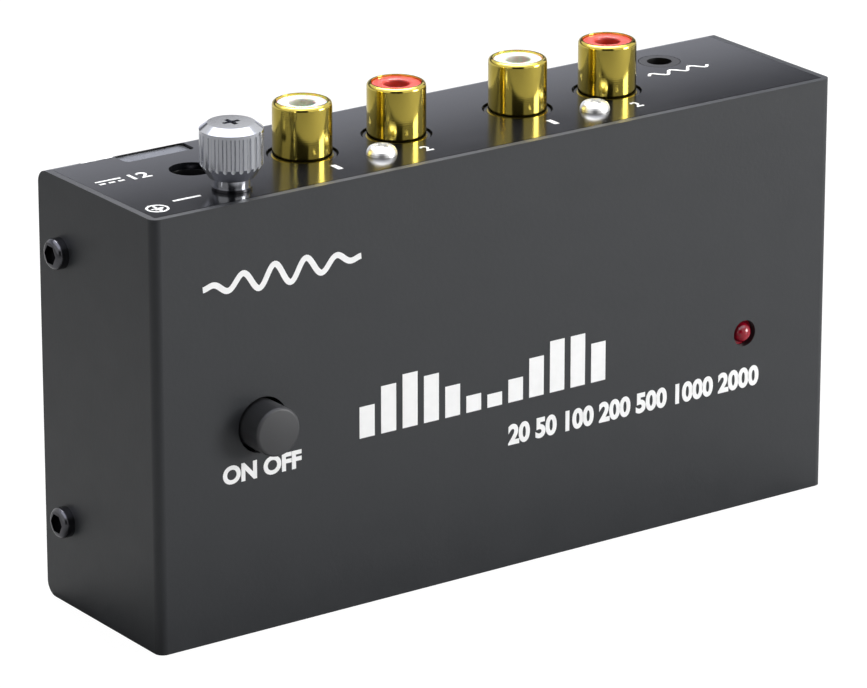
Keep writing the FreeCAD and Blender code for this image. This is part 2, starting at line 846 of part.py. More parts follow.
def make_earth_wire():
    """Insulated wire from the solder lug down and over to the board."""
    x = earth_x + lug_tongue_length - lug_tongue_width / 2
    top = V(x, earth_y, panel_inner_z - lug_thickness)
    turn_start = V(x, earth_y, wire_board_z + wire_bend)
    turn_end = V(x, earth_y + wire_bend, wire_board_z)
    slant = wire_bend * (1 - math.cos(math.radians(45)))
    turn_middle = V(x, earth_y + slant, wire_board_z + slant)
    end = V(x, board_face_y, wire_board_z)
    path = Part.Wire(
        [
            Part.LineSegment(top, turn_start).toShape(),
            Part.Arc(turn_start, turn_middle, turn_end).toShape(),
            Part.LineSegment(turn_end, end).toShape(),
        ]
    )
    section = Part.Wire([Part.Circle(top, Z, wire_radius).toShape()])
    return path.makePipeShell([section], True, False)


def make_button():
    """Long button cap with a socket for the switch plunger."""
    start_y = front_y - button_reach
    body = rod(V(button_x, start_y + button_crown, button_z), Y, button_radius, button_length - button_crown)
    crown_sphere = (button_radius ** 2 + button_crown ** 2) / (2 * button_crown)
    crown = Part.makeSphere(crown_sphere, V(button_x, start_y + crown_sphere, button_z))
    crown = crown.common(
        rod(V(button_x, start_y - sheet, button_z), Y, button_radius, sheet + button_crown)
    )
    cap = join([body, crown])
    cap = soften(
        cap, button_edge_round, lambda p, d: near(p.y, start_y + button_crown)
    )
    socket = block_about(
        V(button_x, start_y + button_length - plunger_engagement / 2, button_z),
        plunger_width + plunger_fit, plunger_engagement, plunger_width + plunger_fit,
    )
    return cap.cut(socket)


def make_plunger():
    """Square plunger of the switch with its stop collar."""
    top_y = board_face_y - switch_rise
    end_y = front_y - button_reach + button_length - plunger_engagement + plunger_fit
    collar_y = top_y + switch_skin + plunger_collar_gap
    tail_y = collar_y + plunger_collar_thickness + plunger_tail
    stem = block(
        button_x - plunger_width / 2, button_x + plunger_width / 2, end_y, tail_y,
        button_z - plunger_width / 2, button_z + plunger_width / 2,
    )
    collar = block(
        button_x - plunger_collar / 2, button_x + plunger_collar / 2, collar_y,
        collar_y + plunger_collar_thickness, button_z - plunger_collar / 2, button_z + plunger_collar / 2,
    )
    return join([stem, collar]), tail_y


def make_switch_base():
    """Lower half of the switch on the board, with the spring's well."""
    top = board_face_y - switch_base_rise
    base = block_about(
        V(button_x, (top + board_face_y) / 2, button_z), switch_width, switch_base_rise, switch_width
    )
    well = rod(V(button_x, top - sheet, button_z), Y, switch_cavity_radius, switch_base_rise - switch_floor + sheet)
    return base.cut(well)


def make_switch_frame():
    """Pressed metal frame over the switch, open round the plunger."""
    top = board_face_y - switch_rise
    low = board_face_y - switch_base_rise
    outer = block_about(V(button_x, (top + low) / 2, button_z), switch_width, low - top, switch_width)
    hollow_width = switch_width - 2 * switch_skin
    hollow = block_about(
        V(button_x, (top + low) / 2 + switch_skin, button_z), hollow_width, low - top, hollow_width
    )
    opening_width = plunger_width + 2 * plunger_fit
    opening = block_about(V(button_x, top, button_z), opening_width, 4 * switch_skin, opening_width)
    return take(outer, [hollow, opening])


def make_spring(start_y, end_y):
    """Return spring, wound on two arcs to each half turn that meet smoothly."""
    rise = (end_y - start_y - 2 * spring_wire_radius) / spring_turns
    first_y = start_y + spring_wire_radius
    slope = rise / (2 * math.pi)

    def point(angle):
        return V(
            button_x + spring_coil_radius * math.cos(angle), first_y + slope * angle,
            button_z + spring_coil_radius * math.sin(angle),
        )

    def tangent(angle):
        direction = V(
            -spring_coil_radius * math.sin(angle), slope, spring_coil_radius * math.cos(angle)
        )
        return direction.normalize()

    def arc(start, direction, end):
        chord = end - start
        normal = direction.cross(chord).normalize()
        to_centre = normal.cross(direction)
        radius = chord.dot(chord) / (2 * chord.dot(to_centre))
        centre = start + to_centre * radius
        half = ((start + end) * 0.5 - centre).normalize()
        return Part.Arc(start, centre + half * abs(radius), end).toShape()

    edges = []
    halves = 4 * spring_turns
    for index in range(halves):
        a = 2 * math.pi * spring_turns * index / halves
        b = 2 * math.pi * spring_turns * (index + 1) / halves
        chord = point(b) - point(a)
        both = tangent(a) + tangent(b)
        spread = 2 * (1 - tangent(a).dot(tangent(b)))
        reach = (-chord.dot(both) + math.sqrt(chord.dot(both) ** 2 + spread * chord.dot(chord))) / spread
        joint = (point(a) + point(b) + (tangent(a) - tangent(b)) * reach) * 0.5
        edges.append(arc(point(a), tangent(a), joint))
        middle_direction = (joint - (point(a) + tangent(a) * reach)).normalize()
        edges.append(arc(joint, middle_direction, point(b)))
    path = Part.Wire(edges)
    section = Part.Wire([Part.Circle(point(0), tangent(0), spring_wire_radius).toShape()])
    return path.makePipeShell([section], True, False)


def make_led():
    """Round lamp lens with its flange."""
    flange_y = cover_inner_y + 2 * thread_clearance
    tip_y = front_y - led_reach
    centre_y = tip_y + led_radius
    dome = Part.makeSphere(led_radius, V(led_x, centre_y, led_z), Y * -1, 0, 90)
    barrel = rod(V(led_x, centre_y, led_z), Y, led_radius, flange_y + led_flange - centre_y)
    flange = rod(V(led_x, flange_y, led_z), Y, led_flange_radius, led_flange)
    return join([dome, barrel, flange]), flange_y + led_flange


def make_led_spacer(start_y):
    """Plastic sleeve that carries the lamp above the board."""
    body = rod(V(led_x, start_y, led_z), Y, led_spacer_radius, board_face_y - start_y)
    holes = []
    for offset in (-led_lead_pitch / 2, led_lead_pitch / 2):
        start = V(led_x + offset, start_y - sheet, led_z)
        holes.append(rod(start, Y, led_lead_radius + led_lead_clearance, case_depth))
    return take(body, holes)


def make_led_leads(start_y):
    """The two wires of the lamp, through the board."""
    leads = []
    for offset in (-led_lead_pitch / 2, led_lead_pitch / 2):
        leads.append(rod(V(led_x + offset, start_y, led_z), Y, led_lead_radius, pin_end_y - start_y))
    return Part.makeCompound(leads)


def make_spreader():
    """Aluminium bar behind the board whose head shows in the vent slot."""
    low_y = board_back_y + spreader_air
    high_y = tray_inner_y - spreader_air
    width = slot_width - 2 * spreader_clearance
    top = panel_z - spreader_recess
    bar = block(
        power_jack_x - width / 2, power_jack_x + width / 2, low_y, slot_back_y - spreader_clearance,
        board_top_z - spreader_length, board_top_z,
    )
    foot = block(
        power_jack_x - width / 2, power_jack_x + width / 2, low_y, high_y,
        board_top_z - spreader_length, board_top_z - tray_bend,
    )
    head = block(
        power_jack_x - width / 2, power_jack_x + width / 2, slot_front_y + spreader_clearance,
        slot_back_y - spreader_clearance, board_top_z - spreader_head, top,
    )
    head = soften(head, slot_corner - spreader_clearance, lambda p, d: near(abs(d.z), 1))
    neck = block(
        power_jack_x - width / 2, power_jack_x + width / 2, low_y, slot_back_y - spreader_clearance,
        board_top_z - spreader_head, board_top_z,
    )
    return join([bar, foot, neck, head])


def make_chip(x):
    """Body of an eight-pin amplifier chip."""
    top = board_face_y - chip_standoff - chip_rise
    body = block_about(
        V(x, (top + board_face_y - chip_standoff) / 2, chip_z), chip_width, chip_rise, chip_length
    )
    body = soften(body, chip_edge_round, lambda p, d: near(p.y, top))
    notch = rod(V(x, top - sheet, chip_z + chip_length / 2), Y, chip_width / 8, sheet + chip_notch_depth)
    return body.cut(notch)


def make_chip_pins(x):
    """The eight pins of one chip, shoulders and legs."""
    pins = []
    high_y = board_face_y - chip_standoff - chip_rise / 2 + chip_pin_thickness / 2
    low_y = high_y - chip_pin_thickness
    for side in (-1, 1):
        for index in range(4):
            z = chip_z + (index - 1.5) * chip_pin_pitch
            inner = x + side * chip_width / 2
            outer = x + side * chip_pin_row / 2
            shoulder = block(
                min(inner, outer), max(inner, outer), low_y, high_y,
                z - chip_shoulder_width / 2, z + chip_shoulder_width / 2,
            )
            skin = outer + side * chip_pin_thickness
            leg = block(
                min(outer, skin), max(outer, skin), low_y, board_face_y,
                z - chip_pin_width / 2, z + chip_pin_width / 2,
            )
            pins.append(join([shoulder, leg]))
    return pins


def make_can(x, z):
    """Electrolytic capacitor with the crimped groove of its sleeve."""
    top_y = board_face_y - can_rise
    groove_y = board_face_y - can_groove_height
    profile = [
        (0, 0),
        (can_radius, 0),
        (can_radius, can_groove_height - can_groove),
        (can_radius - can_groove, can_groove_height),
        (can_radius, can_groove_height + can_groove),
        (can_radius, can_rise - can_groove),
        (can_radius - can_groove, can_rise),
        (0, can_rise),
    ]
    can = turned(profile, V(x, board_face_y, z), Y * -1)
    vents = []
    for along_x, along_z in ((can_radius, can_groove), (can_groove, can_radius)):
        vents.append(block_about(V(x, top_y, z), along_x, can_groove / 2, along_z))
    return take(can, vents)


def make_film(x, z):
    """Box film capacitor."""
    top = board_face_y - film_rise
    body = block_about(V(x, (top + board_face_y) / 2, z), film_width, film_rise, film_length)
    return soften(body, film_edge_round, lambda p, d: near(p.y, top))


def make_resistor(x, z):
    """Body of an axial resistor, fuller at its two ends."""
    half = resistor_length / 2
    profile = [(0, -half)]
    for side in (-1, 1):
        cap = [
            (resistor_end_radius, side * half),
            (resistor_radius, side * (half - resistor_cap_slope)),
            (resistor_radius, side * (half - resistor_cap_length)),
            (resistor_radius - resistor_waist, side * (half - resistor_cap_length - resistor_cap_slope)),
        ]
        profile += cap[::-side]
    profile.append((0, half))
    return turned(profile, V(x, board_face_y - resistor_radius - resistor_lift, z), Z)


def bent_leads(x, z, body_radius, body_length, pitch):
    """Two wire ends that leave a body along Z and turn down to the board."""
    level = board_face_y - body_radius - resistor_lift
    leads = []
    for side in (-1, 1):
        start = V(x, level, z + side * body_length / 2)
        corner = V(x, level, z + side * pitch / 2)
        run = rod(start, Z * side, resistor_lead_radius, pitch / 2 - body_length / 2)
        drop = rod(corner, Y, resistor_lead_radius, board_face_y - level)
        elbow = Part.makeSphere(resistor_lead_radius, corner)
        leads.append(join([run, elbow, drop]))
    return leads


def make_regulator():
    """Surface-mount regulator with its tab soldered to the board."""
    top = board_face_y - regulator_rise
    body = block_about(
        V(regulator_x, (top + board_face_y) / 2, regulator_z), regulator_width, regulator_rise, regulator_length
    )
    body = soften(body, regulator_edge_round, lambda p, d: near(p.y, top))
    metal_y = board_face_y - regulator_metal / 2
    tab = block_about(
        V(regulator_x, metal_y, regulator_z + regulator_length / 2 + regulator_tab / 2),
        regulator_tab_width, regulator_metal, regulator_tab,
    )
    shapes = [body, tab]
    pin_z = regulator_z - regulator_length / 2 - regulator_pin_length / 2
    for offset in (-regulator_pin_pitch, 0, regulator_pin_pitch):
        shapes.append(
            block_about(
                V(regulator_x + offset, metal_y, pin_z), regulator_pin_width, regulator_metal, regulator_pin_length
            )
        )
    return join(shapes)


def make_diode():
    """Body of the polarity diode beside the power socket's supply track."""
    return rod(
        V(diode_x, board_face_y - diode_radius - resistor_lift, diode_z - diode_length / 2), Z, diode_radius,
        diode_length,
    )


shapes = {}
shapes["cover"] = make_cover()
shapes["tray"] = make_tray()
for name, side in (("left", -1), ("right", 1)):
    shapes["side_screws_" + name] = Part.makeCompound(
        [side_screw(side, height) for height in side_screw_heights]
    )
shapes["rubber_feet"] = Part.makeCompound(
    [
        make_foot(side * (half_length - foot_inset), z)
        for side in (-1, 1)
        for z in (foot_inset, case_height - foot_inset)
    ]
)
shapes["circuit_board"] = make_board()
shapes["board_pillars"] = Part.makeCompound([make_pillar(x, z) for x, z in board_screw_places])
shapes["board_screws"] = Part.makeCompound(
    [
        pan_screw(
            V(x, board_face_y, z), Y * -1, X, board_screw_radius, board_screw_head_radius,
            board_screw_head_height, board_screw_length,
        )
        for x, z in board_screw_places
    ]
)
for name, pair_x in pair_places.items():
    shapes[name + "_socket_block"] = make_socket_block(pair_x, block_screw_x[name])
for name, x in rca_places.items():
    shapes[name + "_shell"] = make_shell(x)
    shapes[name + "_insulator"] = make_insulator(x)
    shapes[name + "_contact"] = make_contact(x)
shapes["socket_block_screws"] = Part.makeCompound(
    [
        pan_screw(
            V(x, block_screw_y, panel_z), Z, X, block_screw_radius, block_screw_head_radius,
            block_screw_head_height, block_screw_length,
        )
        for x in block_screw_x.values()
    ]
)
shapes["power_socket_body"] = make_power_jack()
shapes["power_socket_pin"] = make_power_pin()
shapes["power_socket_spring"] = make_power_spring()
shapes["line_socket_body"] = make_line_jack()
shapes["line_socket_contacts"] = make_line_contacts()
shapes["earth_thumbscrew"] = make_earth_screw()
shapes["earth_washer"] = pipe(
    V(earth_x, earth_y, washer_z), Z, washer_radius, earth_shank_radius + thread_clearance, washer_thickness
)
shapes["earth_nut"] = make_earth_nut()
shapes["earth_lug"] = make_lug()
shapes["earth_wire"] = make_earth_wire()
shapes["power_button"] = make_button()
shapes["switch_plunger"], plunger_end_y = make_plunger()
shapes["switch_base"] = make_switch_base()
shapes["switch_frame"] = make_switch_frame()
shapes["switch_spring"] = make_spring(plunger_end_y, board_face_y - switch_floor)
shapes["status_lamp"], lamp_end_y = make_led()
shapes["lamp_spacer"] = make_led_spacer(lamp_end_y)
shapes["lamp_leads"] = make_led_leads(lamp_end_y)
shapes["heat_spreader"] = make_spreader()
shapes["amplifier_chips"] = Part.makeCompound([make_chip(x) for x in chip_x])
shapes["chip_pins"] = Part.makeCompound([pin for x in chip_x for pin in make_chip_pins(x)])
shapes["electrolytic_capacitors"] = Part.makeCompound([make_can(x, can_z) for x in can_x])
shapes["film_capacitors"] = Part.makeCompound([make_film(x, film_z) for x in film_x])
shapes["resistors"] = Part.makeCompound([make_resistor(x, resistor_z) for x in resistor_x])
shapes["resistor_leads"] = Part.makeCompound(
    [
        lead
        for x in resistor_x
        for lead in bent_leads(x, resistor_z, resistor_radius, resistor_length, resistor_pitch)
    ]
)
shapes["voltage_regulator"] = make_regulator()
shapes["polarity_diode"] = make_diode()
shapes["diode_leads"] = Part.makeCompound(
    bent_leads(diode_x, diode_z, diode_radius, diode_length, resistor_pitch)
)

os.makedirs("parts", exist_ok=True)
for name, shape in shapes.items():
    shape.exportStep("parts/" + name + ".step")
    print(name, len(shape.Solids), shape.isValid(), round(shape.Volume, 2))
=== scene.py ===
"""Looks of a phono preamp: a folded sheet-metal box that stands on its narrow side."""
import logging
import math
from dataclasses import dataclass, field
from enum import Enum
from typing import Any, Iterable, Sequence

import bmesh
import bpy
from mathutils import Matrix, Vector


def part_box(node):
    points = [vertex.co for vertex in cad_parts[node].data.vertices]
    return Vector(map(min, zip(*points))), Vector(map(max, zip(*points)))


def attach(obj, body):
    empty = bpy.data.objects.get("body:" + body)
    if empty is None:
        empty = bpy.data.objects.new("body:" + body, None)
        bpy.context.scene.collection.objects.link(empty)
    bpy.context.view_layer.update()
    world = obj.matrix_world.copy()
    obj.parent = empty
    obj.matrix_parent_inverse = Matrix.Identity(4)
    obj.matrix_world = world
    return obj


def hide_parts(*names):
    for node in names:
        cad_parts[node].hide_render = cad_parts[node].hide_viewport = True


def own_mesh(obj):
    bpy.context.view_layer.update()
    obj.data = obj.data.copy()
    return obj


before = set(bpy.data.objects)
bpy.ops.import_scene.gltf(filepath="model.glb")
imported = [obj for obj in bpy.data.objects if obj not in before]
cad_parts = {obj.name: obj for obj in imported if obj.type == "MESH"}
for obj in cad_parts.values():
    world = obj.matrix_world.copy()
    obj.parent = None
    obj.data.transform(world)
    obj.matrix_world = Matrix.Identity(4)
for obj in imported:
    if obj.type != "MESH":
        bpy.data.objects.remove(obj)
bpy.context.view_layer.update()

MM = 0.001
MERGE_DISTANCE = 1e-7
NOISE_DETAIL = 3.0
NOISE_ROUGHNESS = 0.55
MOTTLE_TO_GLOSS = 3
LEAST_ROUGHNESS = 0.02
SUBSURFACE_WEIGHT = 0.5
log = logging.getLogger("preamp")


class Axis(Enum):
    """The axes that pieces are turned about or laid along."""

    X = Vector((1, 0, 0))
    Y = Vector((0, 1, 0))
    Z = Vector((0, 0, 1))


class Wall(Enum):
    """The two faces of the box that carry print."""

    FRONT = "front"
    PANEL = "panel"


def linear(hex_colour: str) -> tuple[float, float, float, float]:
    """Turns an sRGB hex colour into linear values.

    Args:
        hex_colour: Six hex digits after a hash sign.

    Returns:
        Linear red, green, blue and an alpha of one.
    """
    parts = [int(hex_colour[i:i + 2], 16) / 255 for i in (1, 3, 5)]
    straight = [c / 12.92 if c <= 0.04045 else ((c + 0.055) / 1.055) ** 2.4 for c in parts]
    return straight[0], straight[1], straight[2], 1.0


def darker(hex_colour: str, share: float) -> str:
    """Scales an sRGB hex colour towards black by a share of its value."""
    parts = [round(int(hex_colour[i:i + 2], 16) * (1 - share)) for i in (1, 3, 5)]
    return "#" + "".join(f"{part:02x}" for part in parts)


def add_node(tree: bpy.types.NodeTree, kind: str, settings: dict[str, Any] | None = None,
             inputs: dict[Any, Any] | None = None) -> bpy.types.Node:
    """Adds one shader node with its settings, and links or sets its inputs.

    Args:
        tree: The node tree to add to.
        kind: Blender's name of the node type.
        settings: Attribute names and values of the node.
        inputs: Input names or numbers with a value, or an output socket to link from.

    Returns:
        The new node.
    """
    node = tree.nodes.new(kind)
    for name, value in (settings or {}).items():
        setattr(node, name, value)
    for name, value in (inputs or {}).items():
        if isinstance(value, bpy.types.NodeSocket):
            tree.links.new(value, node.inputs[name])
        else:
            node.inputs[name].default_value = value
    return node


@dataclass(frozen=True)
class Finish:
    """A surface finish: its colour and gloss, with a mottle, a grain and a fine relief.

    The relief's grain is a real size in millimetres, and its depth too.
    """

    name: str
    colour: str
    roughness: float
    grain_mm: float = 0.5
    depth_mm: float = 0.01
    mottle_mm: float = 9.0
    mottle: float = 0.08
    gloss_spread: float = 0.06
    metallic: float = 0.0
    stretch: tuple[float, float, float] = (1.0, 1.0, 1.0)
    transmission: float = 0.0
    subsurface_mm: float = 0.0
    ior: float = 1.5

    def noise(self, tree: bpy.types.NodeTree, size_mm: float, stretched: bool) -> bpy.types.NodeSocket:
        """Adds a noise pattern on the object's own coordinates.

        Args:
            tree: The material's node tree.
            size_mm: The size of the pattern's features.
            stretched: Whether the pattern is drawn out along the finish's lay.

        Returns:
            The pattern's grey output.
        """
        place = add_node(tree, "ShaderNodeTexCoord")
        scale = self.stretch if stretched else (1.0, 1.0, 1.0)
        mapped = add_node(
            tree, "ShaderNodeMapping", inputs={"Vector": place.outputs["Object"], "Scale": scale}
        )
        noise = add_node(
            tree, "ShaderNodeTexNoise", {"noise_dimensions": "3D"},
            {"Vector": mapped.outputs["Vector"], "Scale": 1 / (size_mm * MM), "Detail": NOISE_DETAIL,
             "Roughness": NOISE_ROUGHNESS},
        )
        return noise.outputs["Fac"]

    def colour_output(self, tree: bpy.types.NodeTree) -> bpy.types.NodeSocket:
        """Mixes the colour with a darker one by a broad mottle."""
        mix = add_node(
            tree, "ShaderNodeMix", {"data_type": "RGBA"},
            {0: self.noise(tree, self.mottle_mm, False), 6: linear(darker(self.colour, self.mottle)),
             7: linear(self.colour)},
        )
        return mix.outputs[2]

    def height_output(self, tree: bpy.types.NodeTree) -> bpy.types.NodeSocket:
        """Gives the height of the relief, from 0 to 1."""
        return self.noise(tree, self.grain_mm, True)

    def build(self) -> bpy.types.Material:
        """Makes the material.

        Returns:
            A node material named for the finish.
        """
        material = bpy.data.materials.new(self.name)
        material.use_nodes = True
        tree = material.node_tree
        tree.nodes.clear()
        gloss = add_node(
            tree, "ShaderNodeMapRange",
            inputs={"Value": self.noise(tree, self.mottle_mm / MOTTLE_TO_GLOSS, False),
                    "To Min": max(LEAST_ROUGHNESS, self.roughness - self.gloss_spread),
                    "To Max": self.roughness + self.gloss_spread},
        )
        bump = add_node(
            tree, "ShaderNodeBump",
            inputs={"Height": self.height_output(tree), "Distance": self.depth_mm * MM, "Strength": 1.0},
        )
        shader = add_node(
            tree, "ShaderNodeBsdfPrincipled",
            inputs={"Base Color": self.colour_output(tree), "Roughness": gloss.outputs["Result"],
                    "Normal": bump.outputs["Normal"], "Metallic": self.metallic,
                    "Transmission Weight": self.transmission},
        )
        if self.metallic == 0:
            shader.inputs["IOR"].default_value = self.ior
        if self.subsurface_mm:
            shader.inputs["Subsurface Weight"].default_value = SUBSURFACE_WEIGHT
            shader.inputs["Subsurface Scale"].default_value = self.subsurface_mm * MM
        add_node(tree, "ShaderNodeOutputMaterial", inputs={"Surface": shader.outputs["BSDF"]})
        return material


@dataclass(frozen=True)
class TurnedMetal(Finish):
    """A turned or rolled metal part, with fine rings left by the tool along one axis."""

    ring_axis: Axis = Axis.Z
    ring_mm: float = 0.12
    ring_wobble: float = 2.0
    ring_detail: float = 2.0
    noise_share: float = 0.4

    def height_output(self, tree: bpy.types.NodeTree) -> bpy.types.NodeSocket:
        """Gives rings square to the part's axis, broken up a little by noise."""
        place = add_node(tree, "ShaderNodeTexCoord")
        # Bands of scale one repeat every tenth of pi.
        rings = add_node(
            tree, "ShaderNodeTexWave",
            {"wave_type": "BANDS", "bands_direction": self.ring_axis.name, "wave_profile": "SIN"},
            {"Vector": place.outputs["Object"], "Scale": math.pi / (10 * self.ring_mm * MM),
             "Distortion": self.ring_wobble, "Detail": self.ring_detail},
        )
        mix = add_node(
            tree, "ShaderNodeMix", {"data_type": "FLOAT"},
            {0: self.noise_share, 2: rings.outputs["Fac"], 3: self.noise(tree, self.grain_mm, True)},
        )
        return mix.outputs[0]


@dataclass(frozen=True)
class PrintedBoard(Finish):
    """Solder mask over copper: tracks show as a raised, lighter pattern."""

    track_mm: float = 2.4
    track_colour: str = "#1f6a3c"
    unevenness: float = 0.35
    edge_start: float = 0.10
    edge_end: float = 0.16

    def tracks(self, tree: bpy.types.NodeTree) -> bpy.types.NodeSocket:
        """Gives a mask that is one on the copper tracks."""
        place = add_node(tree, "ShaderNodeTexCoord")
        cells = add_node(
            tree, "ShaderNodeTexVoronoi", {"feature": "DISTANCE_TO_EDGE", "distance": "EUCLIDEAN"},
            {"Vector": place.outputs["Object"], "Scale": 1 / (self.track_mm * MM),
             "Randomness": self.unevenness},
        )
        step = add_node(
            tree, "ShaderNodeMapRange", {"interpolation_type": "SMOOTHSTEP"},
            {"Value": cells.outputs["Distance"], "From Min": self.edge_start, "From Max": self.edge_end,
             "To Min": 1.0, "To Max": 0.0},
        )
        return step.outputs["Result"]

    def colour_output(self, tree: bpy.types.NodeTree) -> bpy.types.NodeSocket:
        """Lightens the mask's colour over the tracks."""
        mix = add_node(
            tree, "ShaderNodeMix", {"data_type": "RGBA"},
            {0: self.tracks(tree), 6: linear(self.colour), 7: linear(self.track_colour)},
        )
        return mix.outputs[2]

    def height_output(self, tree: bpy.types.NodeTree) -> bpy.types.NodeSocket:
        """Raises the tracks by the copper's thickness."""
        return self.tracks(tree)


@dataclass(frozen=True)
class ColourBands(Finish):
    """Lacquer with painted rings along Z, as on a resistor's body."""

    centre_z_mm: float = 42.5
    band_mm: float = 1.3
    band_share: float = 0.4
    band_colour: str = "#6a3d1e"

    def colour_output(self, tree: bpy.types.NodeTree) -> bpy.types.NodeSocket:
        """Paints evenly spaced rings over the lacquer."""
        place = add_node(tree, "ShaderNodeTexCoord")
        parts = add_node(tree, "ShaderNodeSeparateXYZ", inputs={"Vector": place.outputs["Object"]})
        along = add_node(
            tree, "ShaderNodeMath", {"operation": "SUBTRACT"},
            {0: parts.outputs["Z"], 1: self.centre_z_mm * MM},
        )
        turns = add_node(
            tree, "ShaderNodeMath", {"operation": "DIVIDE"}, {0: along.outputs[0], 1: self.band_mm * MM}
        )
        saw = add_node(tree, "ShaderNodeMath", {"operation": "FRACT"}, {0: turns.outputs[0]})
        ring = add_node(
            tree, "ShaderNodeMath", {"operation": "LESS_THAN"}, {0: saw.outputs[0], 1: self.band_share}
        )
        mix = add_node(
            tree, "ShaderNodeMix", {"data_type": "RGBA"},
            {0: ring.outputs[0], 6: linear(self.colour), 7: linear(self.band_colour)},
        )
        return mix.outputs[2]


# Satin powder coat on folded steel: dark grey, soft sheen, a fine even orange peel.
CASE_PAINT = Finish("satin_powder_coat", "#292b2e", 0.42, grain_mm=0.55, depth_mm=0.012, mottle_mm=14.0,
                    mottle=0.03, ior=1.45)
# Semi-gloss paint on the socket panel: darker, level enough to mirror the sleeves softly.
PANEL_PAINT = Finish("semi_gloss_black_paint", "#17181b", 0.16, grain_mm=0.7, depth_mm=0.0012, mottle_mm=12.0,
                     mottle=0.04, gloss_spread=0.03)
# Gold flash over turned brass: a soft mirror with a greenish yellow cast.
GOLD_PLATE = TurnedMetal("gold_plated_brass", "#d2bd58", 0.13, grain_mm=0.8, depth_mm=0.0012, mottle_mm=5.0,
                         mottle=0.06, gloss_spread=0.03, metallic=1.0, ring_mm=0.3)
# Nickel plate on steel screws: bright and slightly rounded by the plating.
NICKEL_PLATE = Finish("nickel_plated_steel", "#e4e3df", 0.16, grain_mm=0.25, depth_mm=0.003, mottle_mm=2.0,
                      mottle=0.05, metallic=1.0)
# Bright zinc on the block screws: almost white, soft where the head was stamped.
BRIGHT_ZINC = Finish("bright_zinc_steel", "#f6f6f4", 0.34, grain_mm=0.3, depth_mm=0.004, mottle_mm=1.5,
                     mottle=0.04, metallic=1.0)
# Turned aluminium: bright grey with faint tool rings.
TURNED_ALUMINIUM = TurnedMetal("turned_aluminium", "#c3c5cb", 0.17, grain_mm=0.3, depth_mm=0.002,
                               mottle_mm=3.0, mottle=0.05, metallic=1.0, ring_mm=0.15)
# Rolled aluminium bar, left bare: duller, drawn along X.
ROLLED_ALUMINIUM = Finish("rolled_aluminium", "#97999e", 0.28, grain_mm=0.2, depth_mm=0.004, mottle_mm=4.0,
                          mottle=0.08, metallic=1.0, stretch=(0.1, 1.0, 1.0))
# Black oxide on steel: a thin dark skin that still glints on its edges.
BLACK_OXIDE = Finish("black_oxide_steel", "#58585c", 0.22, grain_mm=0.3, depth_mm=0.004, mottle_mm=2.0,
                     mottle=0.15, metallic=1.0)
# Moulded ABS for the button: matt dark grey with a fine spark-eroded texture.
BLACK_ABS = Finish("spark_textured_black_abs", "#38393b", 0.5, grain_mm=0.25, depth_mm=0.008, mottle_mm=3.0)
# Moulded PBT of the socket bodies: black, slightly shiny.
BLACK_PBT = Finish("moulded_black_pbt", "#101011", 0.36, grain_mm=0.35, depth_mm=0.005, mottle_mm=3.0)
# Black epoxy of the chips: dull and grainy.
BLACK_EPOXY = Finish("black_epoxy", "#1d1d1f", 0.6, grain_mm=0.12, depth_mm=0.006, mottle_mm=2.0)
# Natural rubber feet: dull, dusty black.
FOOT_RUBBER = Finish("moulded_rubber", "#161616", 0.8, grain_mm=0.4, depth_mm=0.02, mottle_mm=2.5, mottle=0.2)
# Moulded insulators: smooth plastic that lets a little light through.
WHITE_INSULATOR = Finish("moulded_white_nylon", "#eceee6", 0.3, grain_mm=0.6, depth_mm=0.004, mottle_mm=3.0,
                         mottle=0.03, subsurface_mm=0.6)
RED_INSULATOR = Finish("moulded_red_nylon", "#e0564c", 0.3, grain_mm=0.6, depth_mm=0.004, mottle_mm=3.0,
                       mottle=0.05, subsurface_mm=0.5)
# White nylon of the switch plunger and the lamp spacer.
WHITE_NYLON = Finish("white_nylon", "#dcdbd4", 0.45, grain_mm=0.5, depth_mm=0.006, mottle_mm=3.0)
# Cast epoxy of the lamp: deep red, slightly clouded, polished by its mould.
RED_LENS = Finish("clear_red_epoxy", "#c2102f", 0.06, grain_mm=1.2, depth_mm=0.001, mottle_mm=1.5, mottle=0.3,
                  gloss_spread=0.02, transmission=0.25, ior=1.54)
# Silk-screened white ink: matt, with slightly uneven cover. It also dresses the painted highlight bar along
# the panel's back bend.
WHITE_INK = Finish("white_screen_ink", "#ffffff", 0.55, grain_mm=0.2, depth_mm=0.004, mottle_mm=1.2,
                   mottle=0.04)
# Tinned copper of leads and lugs: bright but soft-looking.
TINNED_COPPER = Finish("tinned_copper", "#cfcfcc", 0.3, grain_mm=0.3, depth_mm=0.01, mottle_mm=1.5,
                       mottle=0.12, metallic=1.0)
# Drawn spring steel.
SPRING_STEEL = Finish("drawn_spring_steel", "#9c9da0", 0.25, grain_mm=0.15, depth_mm=0.003, mottle_mm=1.5,
                      metallic=1.0)
# PVC sleeve of the earth wire.
WIRE_PVC = Finish("green_wire_pvc", "#2c6b2e", 0.4, grain_mm=0.8, depth_mm=0.008, mottle_mm=4.0)
# Shrink sleeve of the electrolytic capacitors.
CAN_SLEEVE = Finish("blue_black_shrink_sleeve", "#1b2333", 0.28, grain_mm=1.5, depth_mm=0.02, mottle_mm=3.0)
# Cast case of the film capacitors.
FILM_CASE = Finish("red_film_capacitor_case", "#8f2a1c", 0.32, grain_mm=0.5, depth_mm=0.006, mottle_mm=3.0)
# Dipped lacquer of the resistors, with its colour rings.
RESISTOR_LACQUER = ColourBands("banded_resistor_lacquer", "#6f9db3", 0.3, grain_mm=0.6, depth_mm=0.01)
# Solder mask over etched copper.
SOLDER_MASK = PrintedBoard("green_solder_mask", "#12502b", 0.3, depth_mm=0.035, mottle_mm=6.0)

